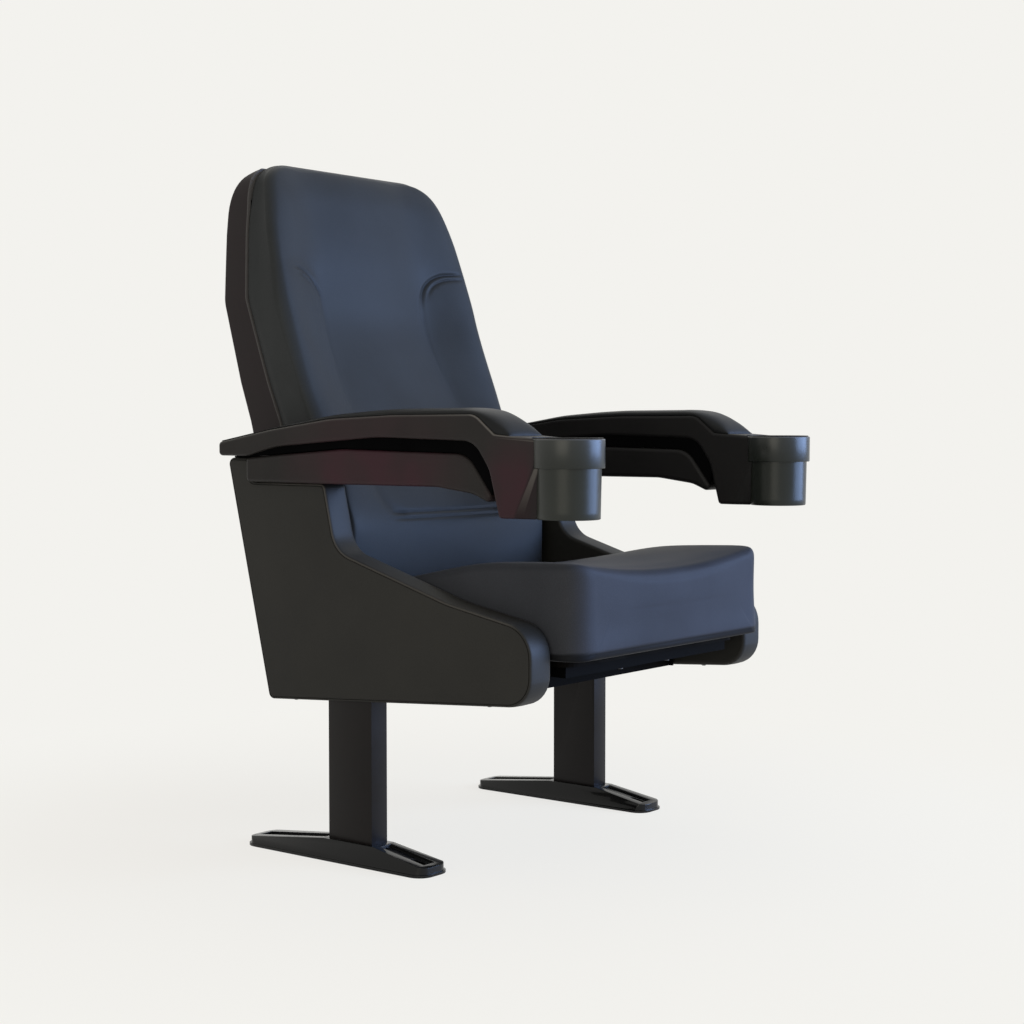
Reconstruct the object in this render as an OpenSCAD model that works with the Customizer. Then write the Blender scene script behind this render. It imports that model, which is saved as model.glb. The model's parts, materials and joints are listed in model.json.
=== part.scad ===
// Cinema seat with a push-back recliner, a sliding seat and lift-up arms with cup holders.
// Z is up and the sitter faces -Y. The origin is on the floor, under the middle of the footprint.
// Depths whose names end in _y are measured from the middle of the feet, and heights from the floor.

/* [Stand] */
// Length of a foot, front to rear
foot_length = 356; // [300:1:420]
// Width of a foot at the floor
foot_width = 66; // [56:1:84]
// Height of a foot under its column
foot_height = 30; // [24:1:40]
// Thickness of the flange round the floor face
foot_flange = 4; // [3:0.5:7]
// Height of a foot at its tips
foot_tip_height = 13; // [10:0.5:18]
// How far the foot's body stands in from its flange
foot_step = 3; // [2:0.5:5]
// Width of the flat ridge on top of a foot
foot_top_width = 44; // [38:1:52]
// Radius of a foot's corners in plan
foot_corner = 22; // [12:1:27]
// Width of a fixing slot
slot_width = 11; // [9:0.5:13]
// Length of a fixing slot between its end centres
slot_travel = 18; // [8:1:26]
// Distance from a foot's end to the middle of its slot
slot_inset = 33; // [30:1:40]
// Width of the sunk channel in a foot's top
channel_width = 24; // [20:1:28]
// Depth of the sunk channel in a foot's top
channel_depth = 4; // [2:0.5:6]
// Depth of a column, front to rear
column_depth = 84; // [70:1:96]
// Width of a column
column_width = 33; // [28:1:36]
// Wall of a column
column_wall = 2.5; // [2:0.25:4]
// Thickness of a column's base plate and cap
column_plate = 5; // [4:0.5:8]
// How far the column stands ahead of the middle of its foot
column_forward = 27; // [10:1:40]
// Height of a column's top, inside the panel
column_top_z = 418; // [380:1:424]
// Shank radius of the bolts that hold a column to its foot
foot_bolt_r = 5; // [4:0.5:6]

/* [Side panel] */
// Length of a side panel, front to rear
panel_length = 579; // [520:1:640]
// Depth of the panel's top below the arm's top edge
panel_drop = 64; // [63:0.5:66]
// Height of the panel's lowest edge above the floor
panel_bottom_z = 225; // [200:1:240]
// Depth of the panel's rearmost point
panel_rear_y = 217.5; // [205:0.5:225]
// Thickness of a side panel
panel_thickness = 46; // [42:1:54]
// Radius of the panel's padded edges
panel_edge = 7; // [4:0.5:9]
// Corner radius of the panel's outline
panel_corner = 10; // [9.5:0.5:14]

/* [Steel inside] */
// Thickness of the gusset that carries the arm beam
gusset_thickness = 8; // [6:0.5:12]
// Thickness of the saddle under the arm beam
saddle_thickness = 5; // [4:0.5:8]
// Width of the saddle under the arm beam
saddle_width = 34; // [28:1:38]
// Thickness of the plate on the panel's inner face
side_plate_thickness = 5; // [4:0.5:5.5]
// Height of a cross tube
cross_tube_height = 25; // [20:1:30]
// Depth of a cross tube, front to rear
cross_tube_depth = 40; // [30:1:50]
// Wall of a cross tube
cross_tube_wall = 2.5; // [2:0.5:4]
// Depth of the front cross tube's middle
front_tube_y = -205; // [-230:1:-180]
// Depth of the rear cross tube's middle
rear_tube_y = 64; // [50:1:80]
// Shank radius of the bolts through the side plates
plate_bolt_r = 5; // [4:0.5:6]

/* [Seat] */
// Width of the seat cushion
seat_width = 490; // [450:1:540]
// Gap between the seat cushion and each side panel
side_gap = 7; // [6:0.5:12]
// Depth of the seat cushion's front face
seat_front_y = -389; // [-410:1:-370]
// Depth of the seat cushion's rear face
seat_rear_y = 17; // [5:1:17]
// Height of the seat cushion's underside
seat_bottom_z = 313; // [305:1:320]
// Height of the seat cushion's upper edge at its front corners
seat_top_z = 446; // [430:1:460]
// How far the front edge dips at its middle
seat_dish = 22; // [5:1:30]
// Radius of the cushion's front corners in plan
seat_corner = 52; // [30:1:70]
// Radius of the cushion's upper edges
seat_edge = 18; // [10:1:26]
// Radius of the cushion's lower edges
seat_lower_edge = 7; // [4:0.5:12]
// Thickness of the seat board
seat_board_thickness = 10; // [8:1:14]
// How far the seat board stands in from the cushion
seat_board_inset = 24; // [20:1:40]
// Height of the seat frame's tubes
seat_tube_height = 16; // [12:1:18]
// Width of the seat frame's tubes
seat_tube_width = 25; // [20:1:30]
// Wall of the seat frame's tubes
seat_tube_wall = 2; // [1.5:0.5:3]
// Distance from the cushion's side to the middle of a rail
rail_inset = 50; // [45:1:75]
// Outer width of a rail
rail_width = 32; // [28:1:38]
// Wall of a rail
rail_wall = 3; // [2:0.5:4]
// Height of a rail's sides
rail_height = 11; // [9:0.5:13]
// Length of a slide shoe
shoe_length = 70; // [50:1:80]

/* [Back] */
// Gap between the back and each lifting arm
back_gap = 2.5; // [2:0.5:12]
// Height of the back's lower edge
back_bottom_z = 336; // [334:1:345]
// Height of the top of the back
back_top_z = 1044; // [980:1:1100]
// Depth of the back cushion's lower front face
back_front_y = 20; // [19:1:30]
// Depth of the back's rearmost point
back_rear_y = 297; // [280:1:315]
// How far the side wings stand ahead of the middle
wing_depth = 35; // [10:1:42]
// Distance from the middle of the back to each wing channel
wing_x = 120; // [95:1:140]
// Radius of the back cushion's front side edges
back_edge = 24; // [14:1:30]
// Depth of the sewn channels
channel_sink = 5; // [2:0.5:7]
// Half the width of the sewn channels
channel_half = 9; // [6:1:12]
// Wall of the rear shell
shell_wall = 4; // [3:0.5:5]
// Radius of the shell's rear side edges
shell_edge = 26; // [16:1:34]
// Thickness of the back board
back_board_thickness = 8; // [6:0.5:10]
// Side of the back frame's square tubes
back_tube = 20; // [16:1:22]
// Wall of the back frame's tubes
back_tube_wall = 2; // [1.5:0.5:3]
// Height of the back's pivot
pivot_z = 430; // [425:1:435]
// Radius of the back's pivot pins
pivot_r = 8; // [6:0.5:9]
// Radial running clearance of pins in their bores
running_gap = 0.05; // [0.02:0.01:0.09]
// Distance from the back's pivot down to its drive pins
drive_arm = 125; // [121:1:127]
// Radius of the drive pins
drive_pin_r = 5; // [4:0.5:6]

/* [Arms] */
// Depth of the surface that an arm beam sits on below the arm's top edge
beam_drop = 100; // [98:1:103]
// Width of an arm beam
beam_width = 72; // [60:1:76]
// Height of an arm beam
beam_height = 51; // [46:1:52]
// Depth of an arm beam's rear end
beam_rear_y = 166; // [158:1:168]
// Gap between an arm beam's tip and the arm's leg
beam_gap = 2; // [1.5:0.5:20]
// Width of a lifting arm
arm_width = 83; // [76:1:83]
// Depth of a lifting arm's rear end
arm_rear_y = 218; // [216:0.5:219]
// Height of a lifting arm's top edge
arm_top_z = 649; // [644:1:656]
// Depth of the arm's hinge axis below the arm's top edge
hinge_drop = 51; // [50:0.25:52]
// Distance from the arm's rear end to its hinge axis
hinge_inset = 10.5; // [10:0.25:12]
// Radius of an arm's hinge pin
hinge_pin_r = 4; // [3:0.25:4.5]
// Radius of the arm's hinge knuckles
knuckle_r = 8; // [7:0.25:8.25]
// Radius of an arm's moulded edges
arm_edge = 5; // [3:0.5:6]
// Width of an arm's top pad
pad_width = 76; // [66:1:77]
// Crown of an arm's top pad above its edges
pad_crown = 9; // [4:0.5:13]

/* [Cup holder] */
// Depth of a cup holder's axis
cup_y = -406; // [-416:1:-400]
// Outer radius of the rim band
ring_r = 48.7; // [46:0.1:52]
// Depth of the rim band's top below the arm's top edge
ring_drop = 33; // [31:1:36]
// Height of the rim band
ring_height = 30; // [22:1:36]
// Wall of the rim band
ring_wall = 4; // [3:0.5:5]
// Height of the cup with its rim band
cup_height = 106; // [92:1:111]
// Taper of the cup's outside, from band to base
cup_taper = 1.5; // [0:0.25:2]
// Radius of the cup well
well_r = 39.5; // [37:0.5:40.5]
// Wall of the removable liner
liner_wall = 1.2; // [1:0.1:1.5]

/* [Fits] */
// Clearance between fixed pieces that fit in each other
fit_gap = 0.3; // [0.2:0.05:0.5]
// Clearance between sliding or swinging pieces
move_gap = 0.5; // [0.3:0.05:0.8]

/* [Hidden] */

// Smoothness of bores and pins
round_fn = 48;
// Overrun of every cut past the face that it opens
over = 1;
// Steps of a corner's arc and of a padded edge
corner_steps = 5;
edge_steps = 3;

// Outline and vector functions
function unit(v) = v / norm(v);
function turn(v, a) = [v[0] * cos(a) - v[1] * sin(a), v[0] * sin(a) + v[1] * cos(a)];
function mix(a, b, t) = a + (b - a) * t;
function height_at(a, b, y) = mix(a[1], b[1], (y - a[0]) / (b[0] - a[0]));
function flat(p) = [p[0], p[1]];

// The arc that rounds corner p, of radius p[2], between its neighbours a and b
function corner_arc(a, p, b) =
    let (u = unit(flat(a) - flat(p)),
        v = unit(flat(b) - flat(p)),
        half = acos(max(-1, min(1, u * v))) / 2,
        middle = flat(p) + unit(u + v) * p[2] / sin(half),
        start = flat(p) + u * p[2] / tan(half) - middle,
        side = u[0] * v[1] - u[1] * v[0] < 0 ? 1 : -1)
    [for (i = [0:corner_steps]) middle + turn(start, side * (180 - 2 * half) * i / corner_steps)];

// A closed outline with each of its corners [y, z, radius] rounded
function rounded(corners) =
    let (n = len(corners))
    [for (i = [0:n - 1]) each corner_arc(corners[(i + n - 1) % n], corners[i], corners[(i + 1) % n])];

// An anticlockwise outline drawn in by a distance
function drawn_in(points, distance) =
    let (n = len(points))
    [for (i = [0:n - 1])
        let (e = unit(points[i] - points[(i + n - 1) % n]),
            f = unit(points[(i + 1) % n] - points[i]),
            m = [e[1], -e[0]],
            q = [f[1], -f[0]])
        points[i] - (m + q) * distance / (1 + m * q)];

// Corners whose places are shares of a box and whose radii are shares of one radius
function placed(shares, corner, size, radius) =
    [for (s = shares) [corner[0] + s[0] * size[0], corner[1] + s[1] * size[1], s[2] * radius]];

// Sizes that follow from others
stand_spacing = seat_width + 2 * side_gap + panel_thickness;
back_width = stand_spacing - arm_width - 2 * back_gap;
rail_x = seat_width / 2 - rail_inset;
beam_seat_z = arm_top_z - beam_drop;
hinge_z = arm_top_z - hinge_drop;
ring_top_z = arm_top_z - ring_drop;
cup_bottom_z = ring_top_z - cup_height;
panel_height = arm_top_z - panel_drop - panel_bottom_z;

// Middle of the footprint, which becomes the origin
origin_y = (cup_y - ring_r + back_rear_y) / 2;

// Column and foot
column_y = -column_forward;
column_front_y = column_y - column_depth / 2;
column_rear_y = column_y + column_depth / 2;
foot_ridge = column_depth / 2 + foot_height / 4;
slot_places = [-foot_length / 2 + slot_inset, foot_length / 2 - slot_inset];
foot_bolt_places = [column_y - column_depth / 4, column_y + column_depth / 4];
foot_bolt_head_r = 1.6 * foot_bolt_r;
foot_bolt_head = 1.1 * foot_bolt_r;

// Heights of the slide under the seat, from the cushion down
board_low_z = seat_bottom_z - seat_board_thickness;
tube_low_z = board_low_z - seat_tube_height;
rail_floor_z = tube_low_z - move_gap - rail_height;
cross_top_z = rail_floor_z - rail_wall;
cross_bottom_z = cross_top_z - cross_tube_height;

// Side outline of the back, as shares of its height and depth from its lower front corner
back_height = back_top_z - back_bottom_z;
back_depth = back_rear_y - back_front_y;
seam_shares = [[0, 0.152], [0.695, 0.785], [1, 0.8646]];
rear_shares = [[0, 0.483], [0.686, 0.971], [0.888, 1], [0.938, 0.968], [0.966, 0.915], [0.9887, 0.868]];
front_shares = [[0, 0.025], [0.013, 0], [0.195, 0], [0.232, 0.018], [0.316, 0.101], [0.432, 0.235],
    [0.549, 0.365], [0.655, 0.466], [0.726, 0.52], [0.797, 0.572], [0.853, 0.614], [0.896, 0.648],
    [0.938, 0.686], [0.962, 0.718], [0.98, 0.747], [0.994, 0.78], [1, 0.809]];
half_shares = [[0, 0.987], [0.013, 1], [0.695, 1], [0.726, 0.99], [0.797, 0.964], [0.853, 0.941],
    [0.896, 0.91], [0.938, 0.872], [0.962, 0.84], [0.98, 0.78], [0.9887, 0.73], [0.994, 0.69], [1, 0.606]];
wing_shares = [[0, 0], [0.195, 0.1], [0.316, 0.4], [0.432, 0.7], [0.549, 0.92], [0.62, 1], [0.726, 0.8],
    [0.797, 0.6], [0.896, 0.4], [1, 0.1]];
function back_share(z) = (z - back_bottom_z) / back_height;
function back_y(share) = back_front_y + share * back_depth;
function seam_y(z) = back_y(lookup(back_share(z), seam_shares));
function rear_y(z) = back_y(lookup(back_share(z), rear_shares));
function front_y(z) = back_y(lookup(back_share(z), front_shares));
function back_half(z) = back_width / 2 * lookup(back_share(z), half_shares);

// Slant of the seam below its kink, and the thickness of board and tube measured along Y
seam_slant = (seam_shares[1][1] - seam_shares[0][1]) * back_depth
    / ((seam_shares[1][0] - seam_shares[0][0]) * back_height);
along_y = sqrt(1 + seam_slant * seam_slant);
board_y = back_board_thickness * along_y;
tube_y = back_tube * along_y;
pivot_y = seam_y(pivot_z) + board_y + tube_y / 2;
drive_z = pivot_z - drive_arm;
upright_x = stand_spacing / 2 - panel_thickness - column_width - fit_gap;

// Side panel, with the notch that the arm beam sits in
panel_front_y = panel_rear_y - panel_length;
panel_top_z = panel_bottom_z + panel_height;
notch_gap = 4;
notch_y = beam_rear_y + notch_gap;
panel_rear_shares = [[0.851, 0, 1], [1, 1, 1]];
panel_front_shares = [[0.614, 0.632, 4.6], [0.253, 0.456, 25], [0, 0.377, 4.8], [0, 0.089, 4.2]];
notch_front_share = 0.653;
panel_corners = concat(
    placed(panel_rear_shares, [panel_front_y, panel_bottom_z], [panel_length, panel_height], panel_corner),
    [[notch_y, panel_top_z, panel_corner], [notch_y, beam_seat_z, panel_corner],
        [panel_front_y + notch_front_share * panel_length, beam_seat_z, panel_corner]],
    placed(panel_front_shares, [panel_front_y, panel_bottom_z], [panel_length, panel_height], panel_corner));

// Domed screws in the panel's lower edge
panel_screw_r = 2.5;
panel_screw_head = 3;
panel_screw_length = 18;
panel_screw_shares = [0.18, 0.93];
panel_low_front = panel_corners[len(panel_corners) - 1];
panel_low_rear = panel_corners[0];
panel_screw_places = [for (s = panel_screw_shares)
    let (y = mix(panel_low_front[0], panel_low_rear[0], s))
    [y, height_at(panel_low_front, panel_low_rear, y)]];

// Gusset inside the panel, from the column's rear face up to the saddle under the beam
saddle_from_y = column_rear_y + column_depth / 3;
saddle_to_y = beam_rear_y - 2 * gusset_thickness;
saddle_z = beam_seat_z - saddle_thickness;
gusset_low_z = mix(panel_bottom_z, column_top_z, 0.55);
beam_bolt_r = 4;
beam_bolt_places = [mix(saddle_from_y, saddle_to_y, 0.2), mix(saddle_from_y, saddle_to_y, 0.8)];
beam_bolt_depth = beam_height * 0.6;

// Side plate, its bolts and the pivot bush
inner_x = -panel_thickness / 2;
plate_x = inner_x - side_plate_thickness;
plate_low_z = max(cross_bottom_z, panel_bottom_z + side_plate_thickness);
plate_top_z = rail_floor_z + rail_height;
plate_bolt_places = [for (y = [-1, 1]) for (z = [-1, 1])
    [column_y + y * column_depth / 3.4, (plate_low_z + plate_top_z) / 2 + z * (plate_top_z - plate_low_z) / 3.4]];
plate_bolt_head_r = 1.4 * plate_bolt_r;
plate_bolt_head = 0.6 * plate_bolt_r;
bush_r = pivot_r + 3;
pivot_boss_r = bush_r + 6;

// Slide: rails, shoes, stops and return struts
rail_front_y = front_tube_y - cross_tube_depth / 2 - shoe_length * 0.8;
rail_rear_y = rear_tube_y - cross_tube_depth / 4;
stop_length = 12;
rear_shoe_y = rail_rear_y - stop_length - fit_gap - shoe_length / 2;
front_shoe_y = front_tube_y - cross_tube_depth / 2 + shoe_length / 2;
seat_frame_front_y = seat_front_y + seat_board_inset + seat_tube_width;
seat_frame_rear_y = seat_rear_y - seat_tube_width / 2;
strut_x = rail_x * 0.62;
strut_z = cross_bottom_z + cross_tube_height / 2;
strut_r = 9;
rod_r = 4;
strut_length = 120;
rod_length = 92;
tab_thickness = 6;
tab_y = seat_frame_rear_y - seat_tube_width / 2;
lug_thickness = 6;
lug_x = rail_x - seat_tube_width / 2 + lug_thickness / 2;
recline_lift = drive_arm * 0.03;

// Arm beam
arm_front_y = cup_y + ring_r * 0.48;
arm_length = arm_rear_y - arm_front_y;
leg_rear_share = 0.104;
beam_front_y = arm_front_y + leg_rear_share * arm_length + beam_gap;
beam_length = beam_rear_y - beam_front_y;
beam_corner = 7.5;
beam_edge = 6.5;
beam_shares = [[1, 0, 1], [1, 0.72, 1], [0.593, 1, 12], [0.118, 0.91, 5.6], [0, -0.55, 1], [0.246, 0.06, 16],
    [0.605, 0, 16]];
beam_corners = placed(beam_shares, [beam_front_y, beam_seat_z], [beam_length, beam_height], beam_corner);

// Hinge of the lifting arm
hinge_y = arm_rear_y - hinge_inset;
lug_half = 10;
knuckle_outer = 30;
bracket_gap = 2.7;
bracket_plate = hinge_z - knuckle_r - panel_top_z - bracket_gap;
bracket_front_y = notch_y + panel_corner / 2;
bracket_half = 17;
tongue_half = 20;
tongue_thickness = 5;
tongue_length = 97;
tongue_front_y = hinge_y - tongue_length;
tongue_low_z = hinge_z - 0.1 * tongue_thickness;
arm_screw_r = 2.5;
arm_screw_places = [mix(tongue_front_y, hinge_y, 0.15), mix(tongue_front_y, hinge_y, 0.5)];

// Lifting arm: underside, rear end, top line, deck and leg, as shares of its length and height
arm_low_z = cup_bottom_z;
arm_height = arm_top_z - arm_low_z;
arm_corner = 6;
leg_shares = [[0.063, 0, 1], [leg_rear_share, 0, 1], [0.1325, 0.465, 8], [0.176, 0.736, 6.5], [0.47, 0.77, 60]];
top_shares = [[0.82, 0.844, 50], [0.62, 0.957, 60], [0.42, 0.995, 100], [0.174, 1, 5]];
deck_share = 0.1175;
arm_under_z = hinge_z - hinge_inset + move_gap;
arm_corners = concat(
    placed(leg_shares, [arm_front_y, arm_low_z], [arm_length, arm_height], arm_corner),
    [[arm_front_y + 0.804 * arm_length, arm_under_z + 1.35 * hinge_inset, 40 * arm_corner],
        [arm_front_y + 0.9035 * arm_length, arm_under_z, 6 * arm_corner],
        [arm_rear_y, arm_under_z, arm_corner],
        [arm_rear_y, hinge_z + hinge_inset, arm_corner]],
    placed(top_shares, [arm_front_y, arm_low_z], [arm_length, arm_height], arm_corner),
    [[arm_front_y + deck_share * arm_length, ring_top_z + arm_corner, 1.3 * arm_corner],
        [arm_front_y, ring_top_z, arm_corner],
        [arm_front_y, ring_top_z - ring_height + arm_edge, arm_corner]]);
arm_outline = rounded(arm_corners);

// Points of the arm's top line from its rear end to the deck, and places along the deck for the pad's nose
step_count = corner_steps + 1;
top_first = 9 * step_count - 1;
top_last = 14 * step_count - 1;
deck_from = arm_outline[top_last];
deck_to = arm_outline[top_last + 1];
pad_nose_y = cup_y + ring_r + 2 * arm_edge;
nose_shares = [0.35, 0.65, 0.9, 1];
pad_line = concat([for (i = [top_first:top_last]) arm_outline[i]],
    [for (s = nose_shares)
        let (y = mix(deck_from[0], pad_nose_y, s))
        [y, height_at(deck_from, deck_to, y)]]);
nose_length = 88;
pad_rim = 1.5;

// Buffers between beams and lifting arms
buffer_r = 9;
buffer_share = 0.25;
buffer_y = beam_front_y + buffer_share * beam_length;

// Cup holder
cup_r = ring_r - ring_wall - fit_gap;
liner_r = well_r + liner_wall;
cup_floor = 3;
liner_flange = 1.5;
liner_lip_r = mix(cup_r, ring_r, 0.4);
neck_half = 30;

// Triangles that fill a closed anticlockwise outline, cut off it one ear at a time
function area(a, b, c) = (b[0] - a[0]) * (c[1] - a[1]) - (b[1] - a[1]) * (c[0] - a[0]);
function within(p, a, b, c) = area(a, b, p) >= 0 && area(b, c, p) >= 0 && area(c, a, p) >= 0;
function is_ear(points, list, k) =
    let (n = len(list),
        i = list[(k + n - 1) % n],
        j = list[k],
        l = list[(k + 1) % n])
    area(points[i], points[j], points[l]) > 0
        && len([for (q = list)
            if (q != i && q != j && q != l && within(points[q], points[i], points[j], points[l])) q]) == 0;
function first_ear(points, list, k = 0) =
    k >= len(list) - 1 || is_ear(points, list, k) ? k : first_ear(points, list, k + 1);
function filled(points, list) =
    len(list) < 4 ? [list] :
    let (n = len(list), k = first_ear(points, list))
    concat([[list[(k + n - 1) % n], list[k], list[(k + 1) % n]]],
        filled(points, [for (i = [0:n - 1]) if (i != k) list[i]]));

// A closed solid through rings of points, each anticlockwise about the axis (0, 1 or 2) that they follow
module loft(rings, axis) {
    n = len(rings[0]);
    m = len(rings);
    ends = [for (r = [rings[0], rings[m - 1]])
        filled([for (p = r) [p[(axis + 1) % 3], p[(axis + 2) % 3]]], [for (j = [0:n - 1]) j])];
    polyhedron(
        points = [for (r = rings) each r],
        faces = concat(
            ends[0],
            [for (f = ends[1]) [for (j = [2, 1, 0]) (m - 1) * n + f[j]]],
            [for (i = [0:m - 2]) for (j = [0:n - 1])
                each [[i * n + j, (i + 1) * n + (j + 1) % n, i * n + (j + 1) % n],
                    [i * n + j, (i + 1) * n + j, (i + 1) * n + (j + 1) % n]]]));
}

// A slab across X with a side outline and rounded edges
module slab(outline, width, edge) {
    near = [for (i = [0:edge_steps])
        let (a = 90 * i / edge_steps)
        [-width / 2 + edge * (1 - cos(a)), edge * (1 - sin(a))]];
    far = [for (i = [edge_steps:-1:0]) [-near[i][0], near[i][1]]];
    loft([for (s = concat(near, far))
        [for (p = drawn_in(outline, s[1])) [s[0], p[0], p[1]]]], 0);
}

// A sharp plate across X, centred on it, with a side outline
module plate(outline, width) {
    rotate([90, 0, 90])
        translate([0, 0, -width / 2])
            linear_extrude(width)
                polygon([for (p = outline) flat(p)]);
}

// A box centred in X and Y that stands on a height
module block(size, place) {
    translate([place[0] - size[0] / 2, place[1] - size[1] / 2, place[2]])
        cube(size);
}

// Cylinders along X, Y and Z between two places
module bar_x(r, x_from, x_to, y, z) {
    translate([x_from, y, z])
        rotate([0, 90, 0])
            cylinder(r = r, h = x_to - x_from, $fn = round_fn);
}

module bar_y(r, y_from, y_to, x, z) {
    translate([x, y_from, z])
        rotate([-90, 0, 0])
            cylinder(r = r, h = y_to - y_from, $fn = round_fn);
}

module bar_z(r, x, y, z_from, z_to) {
    translate([x, y, z_from])
        cylinder(r = r, h = z_to - z_from, $fn = round_fn);
}

// The whole seat is moved so that the origin is under its middle
module in_place() {
    translate([0, -origin_y, 0])
        children();
}

// A mirrored copy for the right, or the piece itself for the left
module handed(side) {
    mirror([side < 0 ? 1 : 0, 0, 0])
        children();
}

// Pieces of one stand are drawn round X = 0 with +X outwards
module on_side(side) {
    in_place()
        translate([side * stand_spacing / 2, 0, 0])
            handed(side)
                children();
}

module on_both_sides() {
    for (side = [-1, 1])
        on_side(side)
            children();
}

module mirrored_pair() {
    for (side = [-1, 1])
        handed(side)
            children();
}

// Feet
module plan_plate(length, width, corner, height) {
    linear_extrude(height)
        polygon(rounded([[-width / 2, -length / 2, corner], [width / 2, -length / 2, corner],
            [width / 2, length / 2, corner], [-width / 2, length / 2, corner]]));
}

module foot_profile() {
    body = foot_length - 2 * foot_step;
    plate([[-body / 2, 0], [body / 2, 0], [body / 2, foot_tip_height], [column_y + foot_ridge, foot_height],
        [column_y - foot_ridge, foot_height], [-body / 2, foot_tip_height]], foot_width);
}

module foot_section() {
    body = foot_width - 2 * foot_step;
    rotate([90, 0, 0])
        translate([0, 0, -foot_length / 2])
            linear_extrude(foot_length)
                polygon([[-body / 2, 0], [body / 2, 0], [body / 2, foot_flange],
                    [foot_top_width / 2, foot_height], [-foot_top_width / 2, foot_height],
                    [-body / 2, foot_flange]]);
}

// The sunk channel that follows the slope of a foot's top towards one end
module foot_channel(end) {
    ridge_y = column_y + end * foot_ridge;
    tip_y = end * (foot_length / 2 - foot_step);
    from_y = ridge_y + end * channel_depth;
    to_y = end * (foot_length / 2 - slot_inset + slot_travel / 2 + slot_width / 2 + channel_depth);
    slope = (foot_tip_height - foot_height) / (tip_y - ridge_y);
    floor_from = foot_height + slope * (from_y - ridge_y) - channel_depth;
    floor_to = foot_height + slope * (to_y - ridge_y) - channel_depth;
    plate([[from_y, floor_from], [to_y, floor_to], [to_y, foot_height + over], [from_y, foot_height + over]],
        channel_width);
}

module foot() {
    difference() {
        union() {
            plan_plate(foot_length, foot_width, foot_corner, foot_flange);
            intersection() {
                foot_profile();
                foot_section();
                plan_plate(foot_length - 2 * foot_step, foot_width - 2 * foot_step, foot_corner - foot_step,
                    foot_height);
            }
        }
        for (end = [-1, 1])
            foot_channel(end);
        for (y = slot_places) {
            for (end = [-1, 1])
                bar_z(slot_width / 2, 0, y + end * slot_travel / 2, -over, foot_height + over);
            block([slot_width, slot_travel, foot_height + 2 * over], [0, y, -over]);
        }
        for (y = foot_bolt_places) {
            bar_z(foot_bolt_r + fit_gap, 0, y, -over, foot_height + over);
            bar_z(foot_bolt_head_r + fit_gap, 0, y, -over, foot_bolt_head + fit_gap);
        }
    }
}

module right_foot() { color("#1b1b1d") on_side(-1) foot(); }
module left_foot() { color("#1b1b1d") on_side(1) foot(); }

// Columns and the bolts that hold them to the feet
module column() {
    difference() {
        block([column_width, column_depth, column_top_z - foot_height], [0, column_y, foot_height]);
        block([column_width - 2 * column_wall, column_depth - 2 * column_wall,
            column_top_z - foot_height - 2 * column_plate], [0, column_y, foot_height + column_plate]);
        for (y = foot_bolt_places)
            bar_z(foot_bolt_r + running_gap, 0, y, foot_height - over, foot_height + column_plate + over);
        for (place = plate_bolt_places)
            bar_x(plate_bolt_r + running_gap, -column_width / 2 - over, -column_width / 2 + column_wall + over,
                place[0], place[1]);
    }
}

module right_column() { color("#26262a") on_side(-1) column(); }
module left_column() { color("#26262a") on_side(1) column(); }

module column_bolts() {
    color("#55565a")
        on_both_sides()
            for (y = foot_bolt_places) {
                bar_z(foot_bolt_r, 0, y, foot_bolt_head / 2, foot_height + 2 * column_plate);
                bar_z(foot_bolt_head_r, 0, y, fit_gap, foot_bolt_head + fit_gap);
            }
}

// Steel gussets that carry the arm beams
module gusset(grow) {
    plate([[column_rear_y - grow, gusset_low_z - 2 * grow], [saddle_to_y + grow, saddle_z - 4 * gusset_thickness],
        [saddle_to_y + grow, saddle_z + grow], [saddle_from_y - grow, saddle_z + grow],
        [column_rear_y - grow, column_top_z + 2 * grow]], gusset_thickness + 2 * grow);
}

module bolt_head_room() {
    for (y = beam_bolt_places)
        block([4 * beam_bolt_r, 4 * beam_bolt_r, 4 * beam_bolt_r], [0, y, saddle_z - 4 * beam_bolt_r]);
}

module side_frame() {
    difference() {
        union() {
            gusset(0);
            block([saddle_width, saddle_to_y - saddle_from_y, saddle_thickness],
                [0, (saddle_from_y + saddle_to_y) / 2, saddle_z]);
        }
        bolt_head_room();
        for (y = beam_bolt_places)
            bar_z(beam_bolt_r + fit_gap, 0, y, saddle_z - over, beam_seat_z + over);
    }
}

module right_side_frame() { color("#3a3b3f") on_side(-1) side_frame(); }
module left_side_frame() { color("#3a3b3f") on_side(1) side_frame(); }

// Side plates on the panels' inner faces, their bolts and the pivot bushes
module side_plate() {
    front = front_tube_y - cross_tube_depth / 2 - side_plate_thickness;
    rear = rear_tube_y + cross_tube_depth / 2 + side_plate_thickness;
    difference() {
        translate([plate_x + side_plate_thickness / 2, 0, 0]) {
            plate([[front, plate_low_z], [rear, plate_low_z], [rear, plate_top_z],
                [front, plate_top_z]], side_plate_thickness);
            plate([[rear_tube_y - cross_tube_depth / 2, plate_top_z - side_plate_thickness],
                [rear, plate_top_z - side_plate_thickness], [pivot_y + pivot_boss_r, pivot_z],
                [pivot_y - pivot_boss_r, pivot_z]], side_plate_thickness);
            bar_x(pivot_boss_r, -side_plate_thickness / 2, side_plate_thickness / 2, pivot_y, pivot_z);
        }
        bar_x(bush_r + running_gap, plate_x - over, inner_x + over, pivot_y, pivot_z);
        for (place = plate_bolt_places)
            bar_x(plate_bolt_r + fit_gap, plate_x - over, inner_x + over, place[0], place[1]);
    }
}

module right_side_plate() { color("#2c2d30") on_side(-1) side_plate(); }
module left_side_plate() { color("#2c2d30") on_side(1) side_plate(); }

module plate_bolts() {
    color("#8a8c90")
        on_both_sides()
            for (place = plate_bolt_places) {
                bar_x(plate_bolt_r, plate_x - plate_bolt_head / 2, 2 * column_wall - column_width / 2,
                    place[0], place[1]);
                bar_x(plate_bolt_head_r, plate_x - plate_bolt_head, plate_x, place[0], place[1]);
            }
}

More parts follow.
